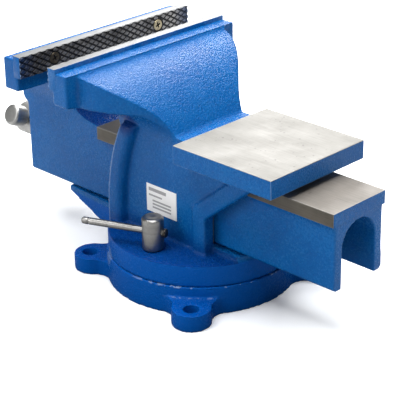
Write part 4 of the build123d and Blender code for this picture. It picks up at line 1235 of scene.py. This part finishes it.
class VISE_OT_handle(bpy.types.Operator):
    """Model the sliding handle with its two knobs"""

    bl_idname = "vise.handle"
    bl_label = "Handle"

    def execute(self, context):
        centre = middle_of("handle_bar")
        radius = half_of("handle_bar").x
        half = (half_of("handle_bar").y - radius * handle_way.z) / handle_way.y
        tint = context.scene.vise_metals.turned
        steel = turned_steel("handle steel", tint, centre, handle_way, 800.0, 0.40)
        outline = rounded([(-half, 0), (-half, radius, 0.8 * MM), (half, radius, 0.8 * MM), (half, 0)])
        bar = turned("handle_rod", outline, centre, handle_way, 64)
        complete(bar, 35, steel, "handle", "bright_steel", "handle_bar")
        end = KNOB_HALF_LENGTH
        for node, way in (("handle_knob_upper", 1), ("handle_knob_lower", -1)):
            outer = half_of(node).x
            outline = rounded([(-end, HANDLE_BORE), (-end, outer, 3 * MM), (end, outer, 3 * MM), (end, 0),
                               (end - KNOB_WALL, 0), (end - KNOB_WALL, HANDLE_BORE)], 6)
            knob = turned(f"{node}_cap", outline, middle_of(node), handle_way * way, 72, closed=True)
            complete(knob, 40, steel, "handle", "bright_steel", node)
        return {"FINISHED"}


class VISE_OT_locks(bpy.types.Operator):
    """Model the two swivel locks: bolt, nut and sliding bar"""

    bl_idname = "vise.locks"
    bl_label = "Swivel locks"

    def execute(self, context):
        for which in ("left", "right"):
            centre = middle_of(f"lock_nut_{which}")
            at = Vector((centre.x, centre.y, middle_of(f"lock_bar_{which}").z))
            centre.z = 0
            side = 1 if centre.y > 0 else -1
            along = Vector((cos(LOCK_ANGLE), side * sin(LOCK_ANGLE), 0))
            tint = context.scene.vise_metals.oiled
            self.nut(which, centre, at, along, tint)
            self.bar(which, at, along, tint)
            bolt = rounded_copy(f"lock_{which}_bolt", f"lock_bolt_{which}", 0.6 * MM)
            complete(bolt, 30, oiled_steel(), "swivel", "dark_steel", f"lock_bolt_{which}")
        return {"FINISHED"}

    def nut(self, which, centre, at, along, tint):
        """The tall round nut, bored across for its bar."""
        node = f"lock_nut_{which}"
        low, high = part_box(node)
        radius = half_of(node).x
        edge = LOCK_EDGE
        outline = rounded([
            (low.z, LOCK_BORE), (low.z, radius - edge, 0.3 * MM), (low.z + edge, radius, 0.4 * MM),
            (high.z - edge, radius, 0.5 * MM), (high.z, radius - edge, 0.5 * MM), (high.z, 2.2 * MM),
            (high.z - 0.8 * MM, 0), (low.z + 11 * MM, 0), (low.z + 12 * MM, LOCK_BORE)], 3)
        nut = turned(f"lock_{which}_nut", outline, centre, Z_AXIS, 64, closed=True)
        cut(nut, rod("bar_hole", at, along, LOCK_BAR_BORE, 40 * MM, 40))
        soften(nut, 0.3 * MM, angle=45)
        steel = turned_steel(f"lock steel {which}", tint, centre, Z_AXIS, 300.0, 0.30)
        complete(nut, 32, steel, f"{which}_nut", "dark_steel", node)

    def bar(self, which, at, along, tint):
        """The sliding bar with its thick stub and the groove near its end."""
        node = f"lock_bar_{which}"
        stub_radius = half_of(node).z
        radius, reach, stub = LOCK_BAR_RADIUS, LOCK_BAR_REACH, LOCK_BAR_STUB
        outline = rounded([
            (-stub - 2.8 * MM, 0), (-stub - 2.8 * MM, stub_radius, 1 * MM), (-stub, stub_radius, 0.5 * MM),
            (-stub, radius), (reach - 7.4 * MM, radius, 0.2 * MM), (reach - 7.2 * MM, radius - 0.7 * MM),
            (reach - 6.2 * MM, radius - 0.7 * MM), (reach - 6.0 * MM, radius, 0.2 * MM),
            (reach, radius, 1.9 * MM), (reach, 0)], 5)
        bar = shade(turned(f"lock_{which}_bar", outline, at, along, 48), 35)
        oily = plated("dark oil", (0.035, 0.032, 0.028, 1), 0.3, 0.6)
        paint(bar, turned_steel(f"bar steel {which}", tint, at, along, 900.0, 0.30), oily)
        colour_faces(bar, 1, lambda centre, normal: (centre - at).dot(along) < -stub - 0.2 * MM)
        hand_over(bar, f"{which}_bar", "bright_steel", node)


class VISE_OT_labels(bpy.types.Operator):
    """Model the blank paper labels on both sides of the body"""

    bl_idname = "vise.labels"
    bl_label = "Labels"

    def execute(self, context):
        sunk = 0.25 * MM * Y_AXIS
        for which in ("left", "right"):
            node = f"label_{which}"
            low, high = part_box(node)
            paper = label_paper(f"label paper {which}", low, high, which == "left")
            corners = (low, high + sunk) if which == "left" else (low - sunk, high)
            sheet = soften(block(f"paper_{which}", *corners), 0.12 * MM, 1)
            complete(sheet, 30, paper, "swivel", "label_white", node)
        return {"FINISHED"}


# ================================================================ stage
class VISE_OT_stage(bpy.types.Operator):
    """Lay a white floor, hang the lights and set the camera"""

    bl_idname = "vise.stage"
    bl_label = "Stage"

    def execute(self, context):
        self.floor()
        self.world(context.scene)
        for name, spot, aim, size, power in (
            ("overhead", (0.0, 0.0, 1.90), (0, 0, 0), 2.0, 84.0),
            ("rear", (1.02, -1.24, 0.96), (0, 0, 0.1), 0.8, 27.0),
            ("side", (0.6, 1.9, 1.0), (0, 0, 0.08), 1.2, 16.0),
        ):
            lamp = bpy.data.lights.new(name, "AREA")
            lamp.shape = "SQUARE"
            lamp.size = size
            lamp.energy = power
            light = bpy.data.objects.new(name, lamp)
            context.scene.collection.objects.link(light)
            light.location = spot
            light.rotation_euler = (Vector(spot) - Vector(aim)).to_track_quat("Z", "Y").to_euler()
        self.camera(context.scene)
        return {"FINISHED"}

    def floor(self):
        """A floor that glows white to the camera, less near the vise, and is grey to what it lights, dark
        near the vise as painted shade.
        """
        bpy.ops.mesh.primitive_plane_add(size=12, location=(0, 0, 0))
        floor = start("floor")
        material, tree, shader, coordinates = new_material("studio floor", Roughness=0.9)
        seen = tree.nodes.new("ShaderNodeLightPath").outputs["Is Camera Ray"]
        away = vector_maths(tree, "LENGTH", coordinates["Object"])["Value"]
        # Painted shade: near the vise the floor throws back much less light.
        bounced = blend_colour(tree, spread(tree, away, 0.09, 0.28), (0.12, 0.12, 0.12, 1),
                               (0.55, 0.55, 0.55, 1))
        feed(tree, shader.inputs["Base Color"], blend_colour(tree, seen, bounced, (0.90, 0.92, 0.94, 1)))
        # The floor glows for camera rays, weakly near the vise and fully further out.
        feed(tree, shader.inputs["Emission Color"], (1, 1, 1, 1))
        feed(tree, shader.inputs["Emission Strength"],
             product(tree, seen, spread(tree, away, 0.4, 1.6, 0.16, 1.0)))
        paint(floor, material)

    def world(self, scene):
        """A white sky that lights the vise only weakly."""
        scene.world = bpy.data.worlds.new("studio")
        scene.world.use_nodes = True
        tree = scene.world.node_tree
        background = tree.nodes["Background"]
        background.inputs["Color"].default_value = (1, 1, 1, 1)
        seen = tree.nodes.new("ShaderNodeLightPath").outputs["Is Camera Ray"]
        feed(tree, background.inputs["Strength"], spread(tree, seen, 0.0, 1.0, 0.18, 1.0))

    def camera(self, scene):
        """The camera, given by its place and three turns."""
        lens = bpy.data.cameras.new("camera")
        lens.lens = 132.0
        lens.sensor_width = 36.0
        lens.clip_start = 0.05
        camera = bpy.data.objects.new("camera", lens)
        scene.collection.objects.link(camera)
        yaw, pitch, roll = radians(-45.4), radians(-24.56), radians(-0.83)
        ahead = Vector((cos(pitch) * cos(yaw), cos(pitch) * sin(yaw), sin(pitch)))
        right = Vector((sin(yaw), -cos(yaw), 0))
        up = right.cross(ahead)
        across = cos(roll) * right + sin(roll) * up
        upward = -sin(roll) * right + cos(roll) * up
        turn = Matrix((across, upward, -ahead)).transposed().to_4x4()
        camera.matrix_world = Matrix.Translation(Vector((-0.8100, 0.8230, 0.5951))) @ turn
        scene.camera = camera
        scene.view_settings.view_transform = "Standard"
        scene.view_settings.look = "None"


PIECES = (
    VISE_OT_base, VISE_OT_body, VISE_OT_moving_jaw, VISE_OT_jaw_plates, VISE_OT_plate_screws, VISE_OT_screw,
    VISE_OT_take_up, VISE_OT_nut, VISE_OT_handle, VISE_OT_locks, VISE_OT_labels, VISE_OT_stage,
)


class VISE_PT_panel(bpy.types.Panel):
    """Lists the pieces and their settings"""

    bl_idname = "VISE_PT_panel"
    bl_label = "Bench vise"
    bl_space_type = "VIEW_3D"
    bl_region_type = "UI"
    bl_category = "Vise"

    def draw(self, context):
        for settings in (context.scene.vise_enamel, context.scene.vise_metals, context.scene.vise_sizes):
            box = self.layout.box()
            for key in settings.__annotations__:
                box.prop(settings, key)
        for operator in PIECES:
            self.layout.operator(operator.bl_idname)


SETTINGS = (("vise_enamel", ViseEnamel), ("vise_metals", ViseMetals), ("vise_sizes", ViseSizes))


def register():
    """Register the settings, the operators and the panel."""
    for name, group in SETTINGS:
        bpy.utils.register_class(group)
        setattr(bpy.types.Scene, name, bpy.props.PointerProperty(type=group))
    for kind in PIECES + (VISE_PT_panel,):
        bpy.utils.register_class(kind)


def unregister():
    """Undo what register does."""
    for kind in reversed(PIECES + (VISE_PT_panel,)):
        bpy.utils.unregister_class(kind)
    for name, group in reversed(SETTINGS):
        delattr(bpy.types.Scene, name)
        bpy.utils.unregister_class(group)


def main():
    """Model every piece."""
    register()
    for operator in PIECES:
        group, call = operator.bl_idname.split(".")
        getattr(getattr(bpy.ops, group), call)()


if __name__ == "__main__":
    main()
